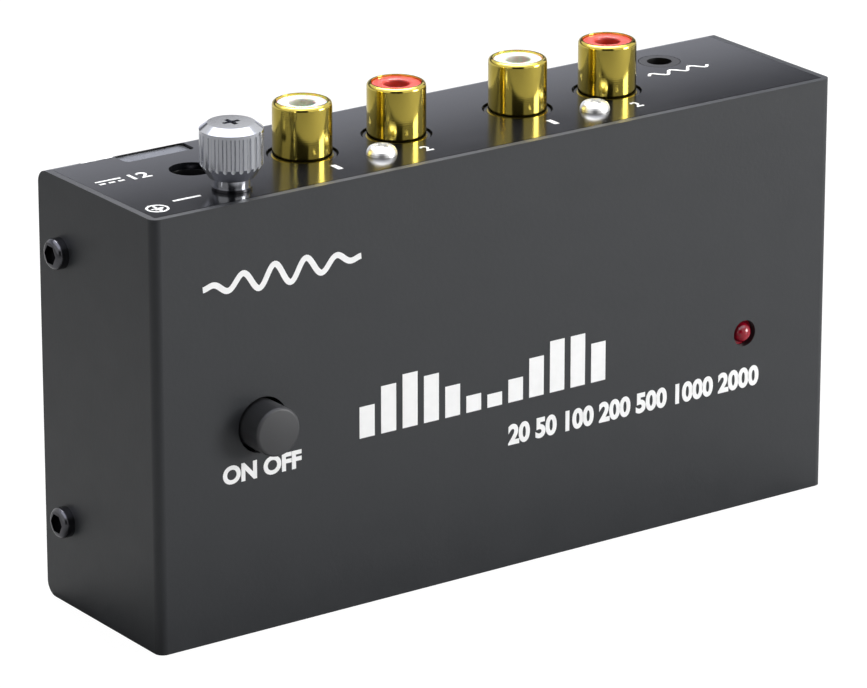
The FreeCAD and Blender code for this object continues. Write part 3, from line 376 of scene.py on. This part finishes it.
NODE_FINISHES: dict[Finish, tuple[str, ...]] = {
    CASE_PAINT: ("cover",),
    PANEL_PAINT: ("tray",),
    FOOT_RUBBER: ("rubber_feet",),
    SOLDER_MASK: ("circuit_board",),
    NICKEL_PLATE: ("board_pillars", "board_screws", "earth_nut", "switch_frame"),
    BRIGHT_ZINC: ("socket_block_screws",),
    BLACK_OXIDE: ("side_screws_left", "side_screws_right", "earth_washer", "power_socket_pin"),
    BLACK_PBT: ("input_socket_block", "output_socket_block", "power_socket_body", "line_socket_body",
                "switch_base"),
    BLACK_EPOXY: ("amplifier_chips", "voltage_regulator", "polarity_diode"),
    BLACK_ABS: ("power_button",),
    GOLD_PLATE: tuple(f"{pair}_{side}_{piece}" for pair in ("input", "output") for side in ("left", "right")
                      for piece in ("shell", "contact")),
    WHITE_INSULATOR: ("input_left_insulator", "output_left_insulator"),
    RED_INSULATOR: ("input_right_insulator", "output_right_insulator"),
    TURNED_ALUMINIUM: ("earth_thumbscrew",),
    ROLLED_ALUMINIUM: ("heat_spreader",),
    TINNED_COPPER: ("earth_lug", "lamp_leads", "chip_pins", "resistor_leads", "diode_leads"),
    SPRING_STEEL: ("power_socket_spring", "line_socket_contacts", "switch_spring"),
    WIRE_PVC: ("earth_wire",),
    WHITE_NYLON: ("switch_plunger", "lamp_spacer"),
    RED_LENS: ("status_lamp",),
    CAN_SLEEVE: ("electrolytic_capacitors",),
    FILM_CASE: ("film_capacitors",),
    RESISTOR_LACQUER: ("resistors",),
}


@dataclass
class Paintbox:
    """Holds each finish's material, made once when it is first asked for."""

    made: dict[str, bpy.types.Material] = field(default_factory=dict)

    def get(self, finish: Finish) -> bpy.types.Material:
        """Gives the material of a finish."""
        if finish.name not in self.made:
            self.made[finish.name] = finish.build()
        return self.made[finish.name]

    def dress_nodes(self) -> None:
        """Gives every CAD node the material of its finish."""
        for finish, names in NODE_FINISHES.items():
            for name in names:
                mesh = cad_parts[name].data
                mesh.materials.clear()
                mesh.materials.append(self.get(finish))
                log.info("dressed %s in %s", name, finish.name)


def new_piece(name: str, mesh: bpy.types.Mesh, body: str, material: bpy.types.Material,
              stands_for: Iterable[str] = (), smooth_below: float = 35.0) -> bpy.types.Object:
    """Puts a finished mesh in the scene as a piece that rides on a body.

    Args:
        name: The piece's name.
        mesh: Its mesh, already in place.
        body: The CAD body that it moves with.
        material: Its material.
        stands_for: CAD nodes that it replaces.
        smooth_below: Angle in degrees up to which its edges are shaded smooth.

    Returns:
        The new object.
    """
    mesh.name = name
    mesh.materials.clear()
    mesh.materials.append(material)
    for polygon in mesh.polygons:
        polygon.use_smooth = True
    mesh.set_sharp_from_angle(angle=math.radians(smooth_below))
    piece = bpy.data.objects.new(name, mesh)
    bpy.context.scene.collection.objects.link(piece)
    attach(piece, body)
    names = list(stands_for)
    if names:
        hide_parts(*names)
    log.info("piece %s rides on %s, %d faces", name, body, len(mesh.polygons))
    return piece


def to_mesh(form: bmesh.types.BMesh) -> bpy.types.Mesh:
    """Merges doubles, points the faces outwards and gives the mesh."""
    bmesh.ops.remove_doubles(form, verts=form.verts, dist=MERGE_DISTANCE)
    bmesh.ops.recalc_face_normals(form, faces=form.faces)
    mesh = bpy.data.meshes.new("form")
    form.to_mesh(mesh)
    form.free()
    return mesh


def lathe(profile: Sequence[tuple[float, float]], steps: int = 96) -> bmesh.types.BMesh:
    """Spins a profile about Z.

    Args:
        profile: Radius and height of each point in millimetres, from one end to the other.
        steps: Number of steps round.

    Returns:
        The turned form about the origin.
    """
    form = bmesh.new()
    points = [form.verts.new((radius * MM, 0, height * MM)) for radius, height in profile]
    edges = [form.edges.new(pair) for pair in zip(points, points[1:])]
    bmesh.ops.spin(
        form, geom=points + edges, cent=(0, 0, 0), axis=(0, 0, 1), angle=2 * math.pi, steps=steps,
        use_merge=True,
    )
    bmesh.ops.remove_doubles(form, verts=form.verts, dist=MERGE_DISTANCE)
    return form


def rounded(corner: tuple[float, float], before: tuple[float, float], after: tuple[float, float],
            radius: float, steps: int = 5) -> list[tuple[float, float]]:
    """Rounds one corner of a profile.

    Args:
        corner: The sharp corner.
        before: The point that comes before it.
        after: The point that comes after it.
        radius: How far back along each side the rounding starts.
        steps: Number of stretches in the rounding.

    Returns:
        The points that take the corner's place.
    """
    middle = Vector(corner)
    start = middle + (Vector(before) - middle).normalized() * radius
    end = middle + (Vector(after) - middle).normalized() * radius
    points = []
    for index in range(steps + 1):
        t = index / steps
        place = start.lerp(middle, t).lerp(middle.lerp(end, t), t)
        points.append((place.x, place.y))
    return points


def soft_profile(points: Sequence[tuple[float, float]], radii: dict[int, float]) -> list[tuple[float, float]]:
    """Rounds the numbered corners of a profile by their radii."""
    result: list[tuple[float, float]] = []
    for index, point in enumerate(points):
        if index in radii:
            result += rounded(point, points[index - 1], points[index + 1], radii[index])
        else:
            result.append(point)
    return result


def middle_of(node: str) -> Vector:
    """Gives the middle of a CAD node's box."""
    low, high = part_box(node)
    return (low + high) / 2


@dataclass
class Studio:
    """Camera, lamps, pale floor and white surround."""

    azimuth: float = -35.226
    elevation: float = 19.244
    distance: float = 0.787165
    target: Vector = field(default_factory=lambda: Vector((-0.001944, 0, 0.02958)))
    focal_pixels: float = 5578.9
    frame_width: int = 867
    sensor_mm: float = 36.0
    clip_end: float = 20.0
    fill_strength: float = 0.24
    seen_strength: float = 1.0
    floor_half_width: float = 4.0
    floor_colour: str = "#c6c6c6"
    floor_glow: float = 1.15
    floor_glow_share: float = 0.85
    card_colour: str = "#f1f3ff"
    card_gap: float = 0.0005
    mirror_plane_y: float = 0.04
    front_card_distance: float = 1.5
    overhead_card_height: float = 0.8

    def direction(self, azimuth: float, elevation: float) -> Vector:
        """Gives the direction from the object to a place at an azimuth and elevation in degrees."""
        around = math.radians(azimuth)
        up = math.radians(elevation)
        return Vector((math.sin(around) * math.cos(up), -math.cos(around) * math.cos(up), math.sin(up)))

    def aim(self, thing: bpy.types.Object, place: Vector, at: Vector) -> None:
        """Puts a camera or lamp at a place and points it."""
        thing.location = place
        thing.rotation_euler = (at - place).to_track_quat("-Z", "Y").to_euler()
        bpy.context.scene.collection.objects.link(thing)

    def make_camera(self) -> None:
        """Makes the camera that matches the photograph."""
        data = bpy.data.cameras.new("camera")
        data.sensor_fit = "HORIZONTAL"
        data.sensor_width = self.sensor_mm
        data.lens = self.focal_pixels / self.frame_width * self.sensor_mm
        data.clip_end = self.clip_end
        camera = bpy.data.objects.new("camera", data)
        place = self.target + self.direction(self.azimuth, self.elevation) * self.distance
        self.aim(camera, place, self.target)
        bpy.context.scene.camera = camera

    def make_lamp(self, name: str, azimuth: float, elevation: float, distance: float,
                  size: tuple[float, float], power: float) -> None:
        """Makes a soft rectangular lamp that faces the object."""
        data = bpy.data.lights.new(name, "AREA")
        data.shape = "RECTANGLE"
        data.size, data.size_y = size
        data.energy = power
        lamp = bpy.data.objects.new(name, data)
        self.aim(lamp, self.target + self.direction(azimuth, elevation) * distance, self.target)

    def make_world(self) -> None:
        """Makes the surround: white where it is seen or mirrored, soft grey as fill light."""
        world = bpy.data.worlds.new("surround")
        bpy.context.scene.world = world
        world.use_nodes = True
        tree = world.node_tree
        tree.nodes.clear()
        path = add_node(tree, "ShaderNodeLightPath")
        seen = add_node(
            tree, "ShaderNodeMath", {"operation": "MAXIMUM"},
            {0: path.outputs["Is Camera Ray"], 1: path.outputs["Is Transmission Ray"]},
        )
        seen = add_node(
            tree, "ShaderNodeMath", {"operation": "MAXIMUM"},
            {0: seen.outputs[0], 1: path.outputs["Is Glossy Ray"]},
        )
        fill = add_node(
            tree, "ShaderNodeBackground", inputs={"Color": linear("#ffffff"), "Strength": self.fill_strength}
        )
        white = add_node(
            tree, "ShaderNodeBackground", inputs={"Color": linear("#ffffff"), "Strength": self.seen_strength}
        )
        mix = add_node(
            tree, "ShaderNodeMixShader", inputs={0: seen.outputs[0], 1: fill.outputs[0], 2: white.outputs[0]}
        )
        add_node(tree, "ShaderNodeOutputWorld", inputs={"Surface": mix.outputs[0]})

    def make_floor(self) -> None:
        """Makes the pale floor, which the camera sees as near white with the object's soft shadow."""
        form = bmesh.new()
        bmesh.ops.create_grid(form, x_segments=1, y_segments=1, size=self.floor_half_width)
        floor = bpy.data.objects.new("floor", to_mesh(form))
        bpy.context.scene.collection.objects.link(floor)
        material = bpy.data.materials.new("pale_floor")
        material.use_nodes = True
        tree = material.node_tree
        tree.nodes.clear()
        path = add_node(tree, "ShaderNodeLightPath")
        share = add_node(
            tree, "ShaderNodeMath", {"operation": "MULTIPLY"},
            {0: path.outputs["Is Camera Ray"], 1: self.floor_glow_share},
        )
        matt = add_node(tree, "ShaderNodeBsdfDiffuse", inputs={"Color": linear(self.floor_colour)})
        glow = add_node(
            tree, "ShaderNodeEmission", inputs={"Color": linear("#ffffff"), "Strength": self.floor_glow}
        )
        mix = add_node(
            tree, "ShaderNodeMixShader", inputs={0: share.outputs[0], 1: matt.outputs[0], 2: glow.outputs[0]}
        )
        add_node(tree, "ShaderNodeOutputMaterial", inputs={"Surface": mix.outputs[0]})
        floor.data.materials.append(material)

    def make_card(self, name: str, place: Vector, at: Vector, size: tuple[float, float],
                  tones: tuple[float, float], span: tuple[float, float]) -> None:
        """Makes a glowing card that only mirrors see, to give the glossy parts their bands.

        Args:
            name: The card's name.
            place: Its middle, in metres.
            at: The point that it faces.
            size: Its width and height in metres.
            tones: Its brightness at the bottom and at the top of the span.
            span: The heights on the card between which the tone changes, in metres from its middle.
        """
        form = bmesh.new()
        bmesh.ops.create_grid(form, x_segments=1, y_segments=1, size=0.5)
        bmesh.ops.scale(form, vec=(size[0], size[1], 1), verts=form.verts)
        card = bpy.data.objects.new(name, to_mesh(form))
        material = bpy.data.materials.new(name)
        material.use_nodes = True
        tree = material.node_tree
        tree.nodes.clear()
        spot = add_node(tree, "ShaderNodeTexCoord")
        parts = add_node(tree, "ShaderNodeSeparateXYZ", inputs={"Vector": spot.outputs["Object"]})
        tone = add_node(
            tree, "ShaderNodeMapRange", {"interpolation_type": "SMOOTHSTEP"},
            {"Value": parts.outputs["Y"], "From Min": span[0], "From Max": span[1], "To Min": tones[0],
             "To Max": tones[1]},
        )
        glow = add_node(
            tree, "ShaderNodeEmission",
            inputs={"Color": linear(self.card_colour), "Strength": tone.outputs["Result"]},
        )
        add_node(tree, "ShaderNodeOutputMaterial", inputs={"Surface": glow.outputs[0]})
        card.data.materials.append(material)
        card.visible_camera = False
        card.visible_diffuse = False
        card.visible_shadow = False
        self.aim(card, place, at)

    def build(self) -> None:
        """Sets the stage."""
        self.make_camera()
        self.make_world()
        self.make_floor()
        self.make_lamp("key", azimuth=44, elevation=12, distance=0.9, size=(0.32, 0.36), power=6.5)
        self.make_lamp("side", azimuth=-118, elevation=34, distance=1.0, size=(0.4, 0.5), power=0.12)
        self.make_lamp("top", azimuth=150, elevation=68, distance=0.42, size=(0.3, 0.2), power=2.4)
        whole = (-1.0, 1.0)
        front = self.target + self.direction(azimuth=-34, elevation=-4) * self.front_card_distance
        self.make_card("front_card", front, self.target, size=(1.3, 2.2), tones=(0.011, 0.011), span=whole)
        back = Vector((0.03, self.mirror_plane_y, 0.074))
        self.make_card(
            "back_card", back, back - Axis.Y.value, size=(0.3, 0.028), tones=(1.0, 0.04), span=(-0.004, 0.011)
        )
        right = Vector((0.1275, self.mirror_plane_y + self.card_gap, 0.09))
        self.make_card(
            "right_card", right, right - Axis.Y.value, size=(0.105, 0.06), tones=(0.04, 0.04), span=whole
        )
        over = self.target + Axis.Z.value * self.overhead_card_height
        self.make_card("overhead_card", over, self.target, size=(1.4, 1.4), tones=(3.0, 3.0), span=whole)
        bpy.context.scene.view_settings.view_transform = "Standard"


@dataclass
class PhonoSockets:
    """The four gold sleeves with their coloured insulators."""

    paints: Paintbox
    sleeve_radius_mm: float = 4.15
    wall_mm: float = 0.6
    lip_mm: float = 0.6
    inner_lip_mm: float = 0.12
    root_radius_mm: float = 4.3
    flange_radius_mm: float = 4.9
    flange_mm: float = 0.6
    flush_mm: float = 0.3
    panel_z_mm: float = 62.0
    leg_overlap_mm: float = 0.3
    leg_inset_mm: float = 0.02
    wide_leg_mm: float = 2.0
    wide_leg_reach_mm: float = 9.55
    narrow_leg_mm: float = 1.2
    mouth_radius_mm: float = 1.8
    mouth_length_mm: float = 2.0
    mouth_round_mm: float = 0.35
    bore_radius_mm: float = 2.15
    dish_mm: float = 0.1
    crown_mm: float = 0.12
    crown_share: float = 0.8
    crown_round_mm: float = 0.5
    rim_round_mm: float = 0.2

    def build(self) -> None:
        """Replaces each sleeve and insulator by a finely turned one."""
        for pair in ("input", "output"):
            for side in ("left", "right"):
                self.make_insulator(f"{pair}_{side}")
                self.make_shell(f"{pair}_{side}")

    def make_shell(self, name: str) -> None:
        """Turns one sleeve and joins its legs from the CAD solid's size."""
        node = f"{name}_shell"
        low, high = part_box(node)
        bottom = low.z / MM
        top = high.z / MM
        outer = self.sleeve_radius_mm
        inner = outer - self.wall_mm
        flange = self.flange_radius_mm
        flange_top = bottom + self.flange_mm
        root = self.root_radius_mm
        root_top = self.panel_z_mm - self.flush_mm
        points = [
            (inner, bottom), (flange, bottom), (flange, flange_top), (root, flange_top), (root, root_top),
            (outer, root_top), (outer, top), (inner, top), (inner, bottom),
        ]
        form = lathe(soft_profile(points, {6: self.lip_mm, 7: self.inner_lip_mm}), steps=128)
        middle = middle_of(f"{name}_insulator")
        centre = Vector((middle.x, middle.y, 0))
        bmesh.ops.translate(form, vec=centre, verts=form.verts)
        start = centre.y / MM + flange - self.leg_overlap_mm
        thickness = self.flange_mm - self.leg_inset_mm
        legs = ((self.wide_leg_mm, self.wide_leg_reach_mm), (self.narrow_leg_mm, high.y / MM))
        for width, reach in legs:
            leg = bmesh.ops.create_cube(form, size=1.0)["verts"]
            bmesh.ops.scale(form, vec=(width * MM, (reach - start) * MM, thickness * MM), verts=leg)
            place = (centre.x, (reach + start) / 2 * MM, (bottom + self.flange_mm / 2) * MM)
            bmesh.ops.translate(form, vec=place, verts=leg)
        new_piece(f"{name}_sleeve", to_mesh(form), "root", self.paints.get(GOLD_PLATE), [node])

    def make_insulator(self, name: str) -> None:
        """Turns one insulator with a rounded mouth and a slightly dished face."""
        node = f"{name}_insulator"
        low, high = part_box(node)
        bottom = low.z / MM
        top = high.z / MM
        outer = (high.x - low.x) / 2 / MM
        mouth = self.mouth_radius_mm
        bore = self.bore_radius_mm
        mouth_end = top - self.mouth_length_mm
        points = [
            (bore, bottom), (outer, bottom), (outer, top - self.crown_mm), (outer * self.crown_share, top),
            (mouth, top - self.dish_mm), (mouth, mouth_end), (bore, mouth_end), (bore, bottom),
        ]
        radii = {2: self.rim_round_mm, 3: self.crown_round_mm, 4: self.mouth_round_mm}
        form = lathe(soft_profile(points, radii), steps=96)
        centre = Vector(((low.x + high.x) / 2, (low.y + high.y) / 2, 0))
        bmesh.ops.translate(form, vec=centre, verts=form.verts)
        finish = RED_INSULATOR if "right" in name else WHITE_INSULATOR
        new_piece(f"{name}_plug_face", to_mesh(form), "root", self.paints.get(finish), [node])


@dataclass
class SwitchSpring:
    """The switch's return spring."""

    paints: Paintbox
    travel_mm: float = 2.5
    joint: str = "button_press"
    node: str = "switch_spring"

    def build(self) -> None:
        """Copies the coil as a piece of its own, in spring steel."""
        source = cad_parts[self.node]
        form = bmesh.new()
        form.from_mesh(source.data)
        form.transform(source.matrix_world)
        piece = new_piece("return_spring", to_mesh(form), "root", self.paints.get(SPRING_STEEL), [self.node])
        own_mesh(piece)


@dataclass
class Print:
    """White print on the front and on the socket panel, plain signs and numbers, and one white bar that is a
    painted highlight on the panel's back bend.
    """

    paints: Paintbox
    thickness_mm: float = 0.03
    front_y_mm: float = -14.5
    panel_z_mm: float = 62.0
    bold: float = 0.045
    fine_bold: float = 0.02
    line_mm: float = 0.5
    thin_line_mm: float = 0.45
    curve_steps: int = 6

    def lay(self, name: str, form: bmesh.types.BMesh, wall: Wall) -> None:
        """Lays a flat form, drawn in X and Y, onto a wall and gives it its thickness.

        Args:
            name: The piece's name.
            form: Faces drawn in the XY plane in metres.
            wall: The wall that carries it.
        """
        bmesh.ops.recalc_face_normals(form, faces=form.faces)
        faces = list(form.faces)
        if sum(face.normal.z for face in faces) < 0:
            bmesh.ops.reverse_faces(form, faces=faces)
        rise = self.thickness_mm * MM
        grown = bmesh.ops.extrude_face_region(form, geom=faces, use_keep_orig=True)
        raised = [part for part in grown["geom"] if isinstance(part, bmesh.types.BMVert)]
        bmesh.ops.translate(form, vec=(0, 0, rise), verts=raised)
        bmesh.ops.recalc_face_normals(form, faces=form.faces)
        if wall is Wall.FRONT:
            upright = Matrix.Rotation(math.pi / 2, 3, "X")
            bmesh.ops.rotate(form, cent=(0, 0, 0), matrix=upright, verts=form.verts)
            bmesh.ops.translate(form, vec=(0, self.front_y_mm * MM, 0), verts=form.verts)
        else:
            bmesh.ops.translate(form, vec=(0, 0, self.panel_z_mm * MM), verts=form.verts)
        new_piece(name, to_mesh(form), "root", self.paints.get(WHITE_INK))

    def strip(self, form: bmesh.types.BMesh, points: Sequence[tuple[float, float]], width: float) -> None:
        """Adds a ribbon of one width along points, in millimetres."""
        pairs = []
        for index, point in enumerate(points):
            before = Vector(points[max(index - 1, 0)])
            after = Vector(points[min(index + 1, len(points) - 1)])
            along = (after - before).normalized()
            across = Vector((-along.y, along.x)) * width / 2
            here = Vector(point)
            pairs.append([form.verts.new(((here + across * s).x * MM, (here + across * s).y * MM, 0))
                          for s in (1, -1)])
        for first, second in zip(pairs, pairs[1:]):
            form.faces.new((first[0], first[1], second[1], second[0]))

    def bar(self, form: bmesh.types.BMesh, x0: float, x1: float, y0: float, y1: float) -> None:
        """Adds an upright rectangle between two corners, in millimetres."""
        self.strip(form, [((x0 + x1) / 2, y0), ((x0 + x1) / 2, y1)], x1 - x0)

    def arc(self, centre: tuple[float, float], radius: float, start: float, end: float,
            steps: int = 24) -> list[tuple[float, float]]:
        """Gives points along an arc between two angles in degrees."""
        angles = [math.radians(start + (end - start) * index / steps) for index in range(steps + 1)]
        return [(centre[0] + radius * math.cos(a), centre[1] + radius * math.sin(a)) for a in angles]

    def words(self, text: str, left: float, base: float, width: float, height: float,
              bold: float = 0.0) -> bmesh.types.BMesh:
        """Draws plain numbers or generic lettering to a width and a cap height.

        Args:
            text: What is written.
            left: Left end in millimetres.
            base: Base line in millimetres.
            width: Full width in millimetres.
            height: Cap height in millimetres.
            bold: How far the outline grows, in the font's own units.

        Returns:
            A flat form.
        """
        curve = bpy.data.curves.new("words", "FONT")
        curve.body = text
        curve.offset = bold
        curve.resolution_u = self.curve_steps
        written = bpy.data.objects.new("words", curve)
        bpy.context.scene.collection.objects.link(written)
        bpy.context.view_layer.update()
        mesh = bpy.data.meshes.new_from_object(written)
        bpy.data.objects.remove(written)
        form = bmesh.new()
        form.from_mesh(mesh)
        low = Vector((min(v.co.x for v in form.verts), min(v.co.y for v in form.verts), 0))
        high = Vector((max(v.co.x for v in form.verts), max(v.co.y for v in form.verts), 0))
        bmesh.ops.translate(form, vec=-low, verts=form.verts)
        size = high - low
        bmesh.ops.scale(form, vec=(width * MM / size.x, height * MM / size.y, 1), verts=form.verts)
        bmesh.ops.translate(form, vec=(left * MM, base * MM, 0), verts=form.verts)
        return form

    def level_bars(self) -> None:
        """Draws the large row of level bars in the middle of the front."""
        form = bmesh.new()
        left, right, base, tall = -24.6, 17.5, 24.5, 7.9
        count = 12
        gap_share = 0.3
        mean, swing, crest, crest_pitch = 0.62, 0.38, 2, 7.5
        pitch = (right - left) / (count - gap_share)
        for index in range(count):
            swell = mean + swing * math.cos(2 * math.pi * (index - crest) / crest_pitch)
            x = left + index * pitch
            self.bar(form, x, x + (1 - gap_share) * pitch, base, base + tall * swell)
        self.lay("print_level_bars", form, Wall.FRONT)

    def scale_line(self) -> None:
        """Draws the line of plain numbers under the bars."""
        form = self.words(
            "20 50 100 200 500 1000 2000", left=0.6, base=18.1, width=44.6, height=3.1, bold=self.bold
        )
        self.lay("print_number_scale", form, Wall.FRONT)

    def wave_line(self) -> None:
        """Draws the plain wave at the top left of the front."""
        form = bmesh.new()
        left, right, middle, swing = -49.8, -24.2, 50.9, 1.55
        steps, waves, fullness, width = 120, 5, 0.8, 0.85
        points = []
        for index in range(steps + 1):
            share = index / steps
            swell = math.sin(math.pi * share) ** fullness
            height = middle + swing * swell * math.sin(2 * math.pi * waves * share)
            points.append((left + (right - left) * share, height))
        self.strip(form, points, width)
        self.lay("print_wave", form, Wall.FRONT)

    def switch_words(self) -> None:
        """Writes ON and OFF under the button."""
        form = self.words("ON OFF", left=-47.0, base=22.4, width=12.8, height=2.7, bold=self.bold)
        self.lay("print_on_off", form, Wall.FRONT)

    def earth_sign(self) -> None:
        """Draws the earth sign in its ring beside the earth screw, a line beside it, and a white bar along
        the panel's back bend that is a painted highlight.
        """
        form = bmesh.new()
        centre = (-54.0, -10.2)
        ring_radius, ring_width, stem_half, stem_rise, step, bar_half = 1.45, 0.32, 0.15, 1.1, 0.45, 0.14
        self.strip(form, self.arc(centre, ring_radius, 0, 360), ring_width)
        self.bar(form, centre[0] - stem_half, centre[0] + stem_half, centre[1], centre[1] + stem_rise)
        for index, half in enumerate((0.95, 0.6, 0.25)):
            level = centre[1] - step * index
            self.bar(form, centre[0] - half, centre[0] + half, level - bar_half, level + bar_half)
        self.lay("print_earth_sign", form, Wall.PANEL)
        line = bmesh.new()
        self.strip(line, [(-50.6, -8.7), (-46.2, -8.7)], self.line_mm)
        self.lay("print_earth_line", line, Wall.PANEL)
        # Painted highlight: a thin white bar along the socket panel's back bend stands in for the light that
        # the bend catches.
        bend_highlight = bmesh.new()
        self.bar(bend_highlight, -51.8, -46.6, 12.6, 13.2)
        self.lay("painted_bend_highlight", bend_highlight, Wall.PANEL)

    def power_sign(self) -> None:
        """Writes the voltage as a plain number, with the sign for direct current."""
        number = self.words("12", left=-49.6, base=2.3, width=2.9, height=2.3, bold=self.fine_bold)
        self.lay("print_voltage", number, Wall.PANEL)
        form = bmesh.new()
        left, right, line_y, dash_y, dash, dash_pitch = -54.8, -50.8, 4.1, 3.0, 1.0, 1.5
        self.strip(form, [(left, line_y), (right, line_y)], self.thin_line_mm)
        for index in range(3):
            start = left + dash_pitch * index
            self.strip(form, [(start, dash_y), (start + dash, dash_y)], self.thin_line_mm)
        self.lay("print_direct_current", form, Wall.PANEL)

    def socket_numbers(self) -> None:
        """Numbers the channels and marks the pairs with arrows in and out."""
        places = {"1a": -23.9, "2a": -9.3, "1b": 12.5, "2b": 26.9}
        for label, x in places.items():
            width = 0.8 if label[0] == "1" else 1.3
            form = self.words(label[0], left=x - 0.7, base=-9.8, width=width, height=2.1, bold=self.fine_bold)
            self.lay(f"print_channel_{label}", form, Wall.PANEL)
        for name, x, way in (("in", -15.7, -1), ("out", 20.7, 1)):
            form = bmesh.new()
            low, high, middle, tip_reach, barb_half, barb_length = 6.4, 9.6, 8.0, 1.9, 1.3, 1.4
            self.strip(form, [(x, low), (x, high)], self.line_mm)
            tip = middle + way * tip_reach
            barb = tip - way * barb_length
            self.strip(form, [(x - barb_half, barb), (x, tip), (x + barb_half, barb)], self.line_mm)
            self.lay(f"print_arrow_{name}", form, Wall.PANEL)
        wave = bmesh.new()
        left, length, level, swing, waves, steps = 36.8, 10.4, 1.3, 0.8, 3, 60
        points = []
        for index in range(steps + 1):
            height = level + swing * math.sin(2 * math.pi * waves * index / steps)
            points.append((left + length * index / steps, height))
        self.strip(wave, points, self.thin_line_mm)
        self.lay("print_line_wave", wave, Wall.PANEL)

    def build(self) -> None:
        """Prints everything."""
        self.level_bars()
        self.scale_line()
        self.wave_line()
        self.switch_words()
        self.earth_sign()
        self.power_sign()
        self.socket_numbers()


def main() -> None:
    """Builds the scene in order."""
    logging.basicConfig(level=logging.INFO, format="%(message)s")
    paints = Paintbox()
    Studio().build()
    paints.dress_nodes()
    PhonoSockets(paints).build()
    SwitchSpring(paints).build()
    Print(paints).build()


if __name__ == "__main__":
    main()
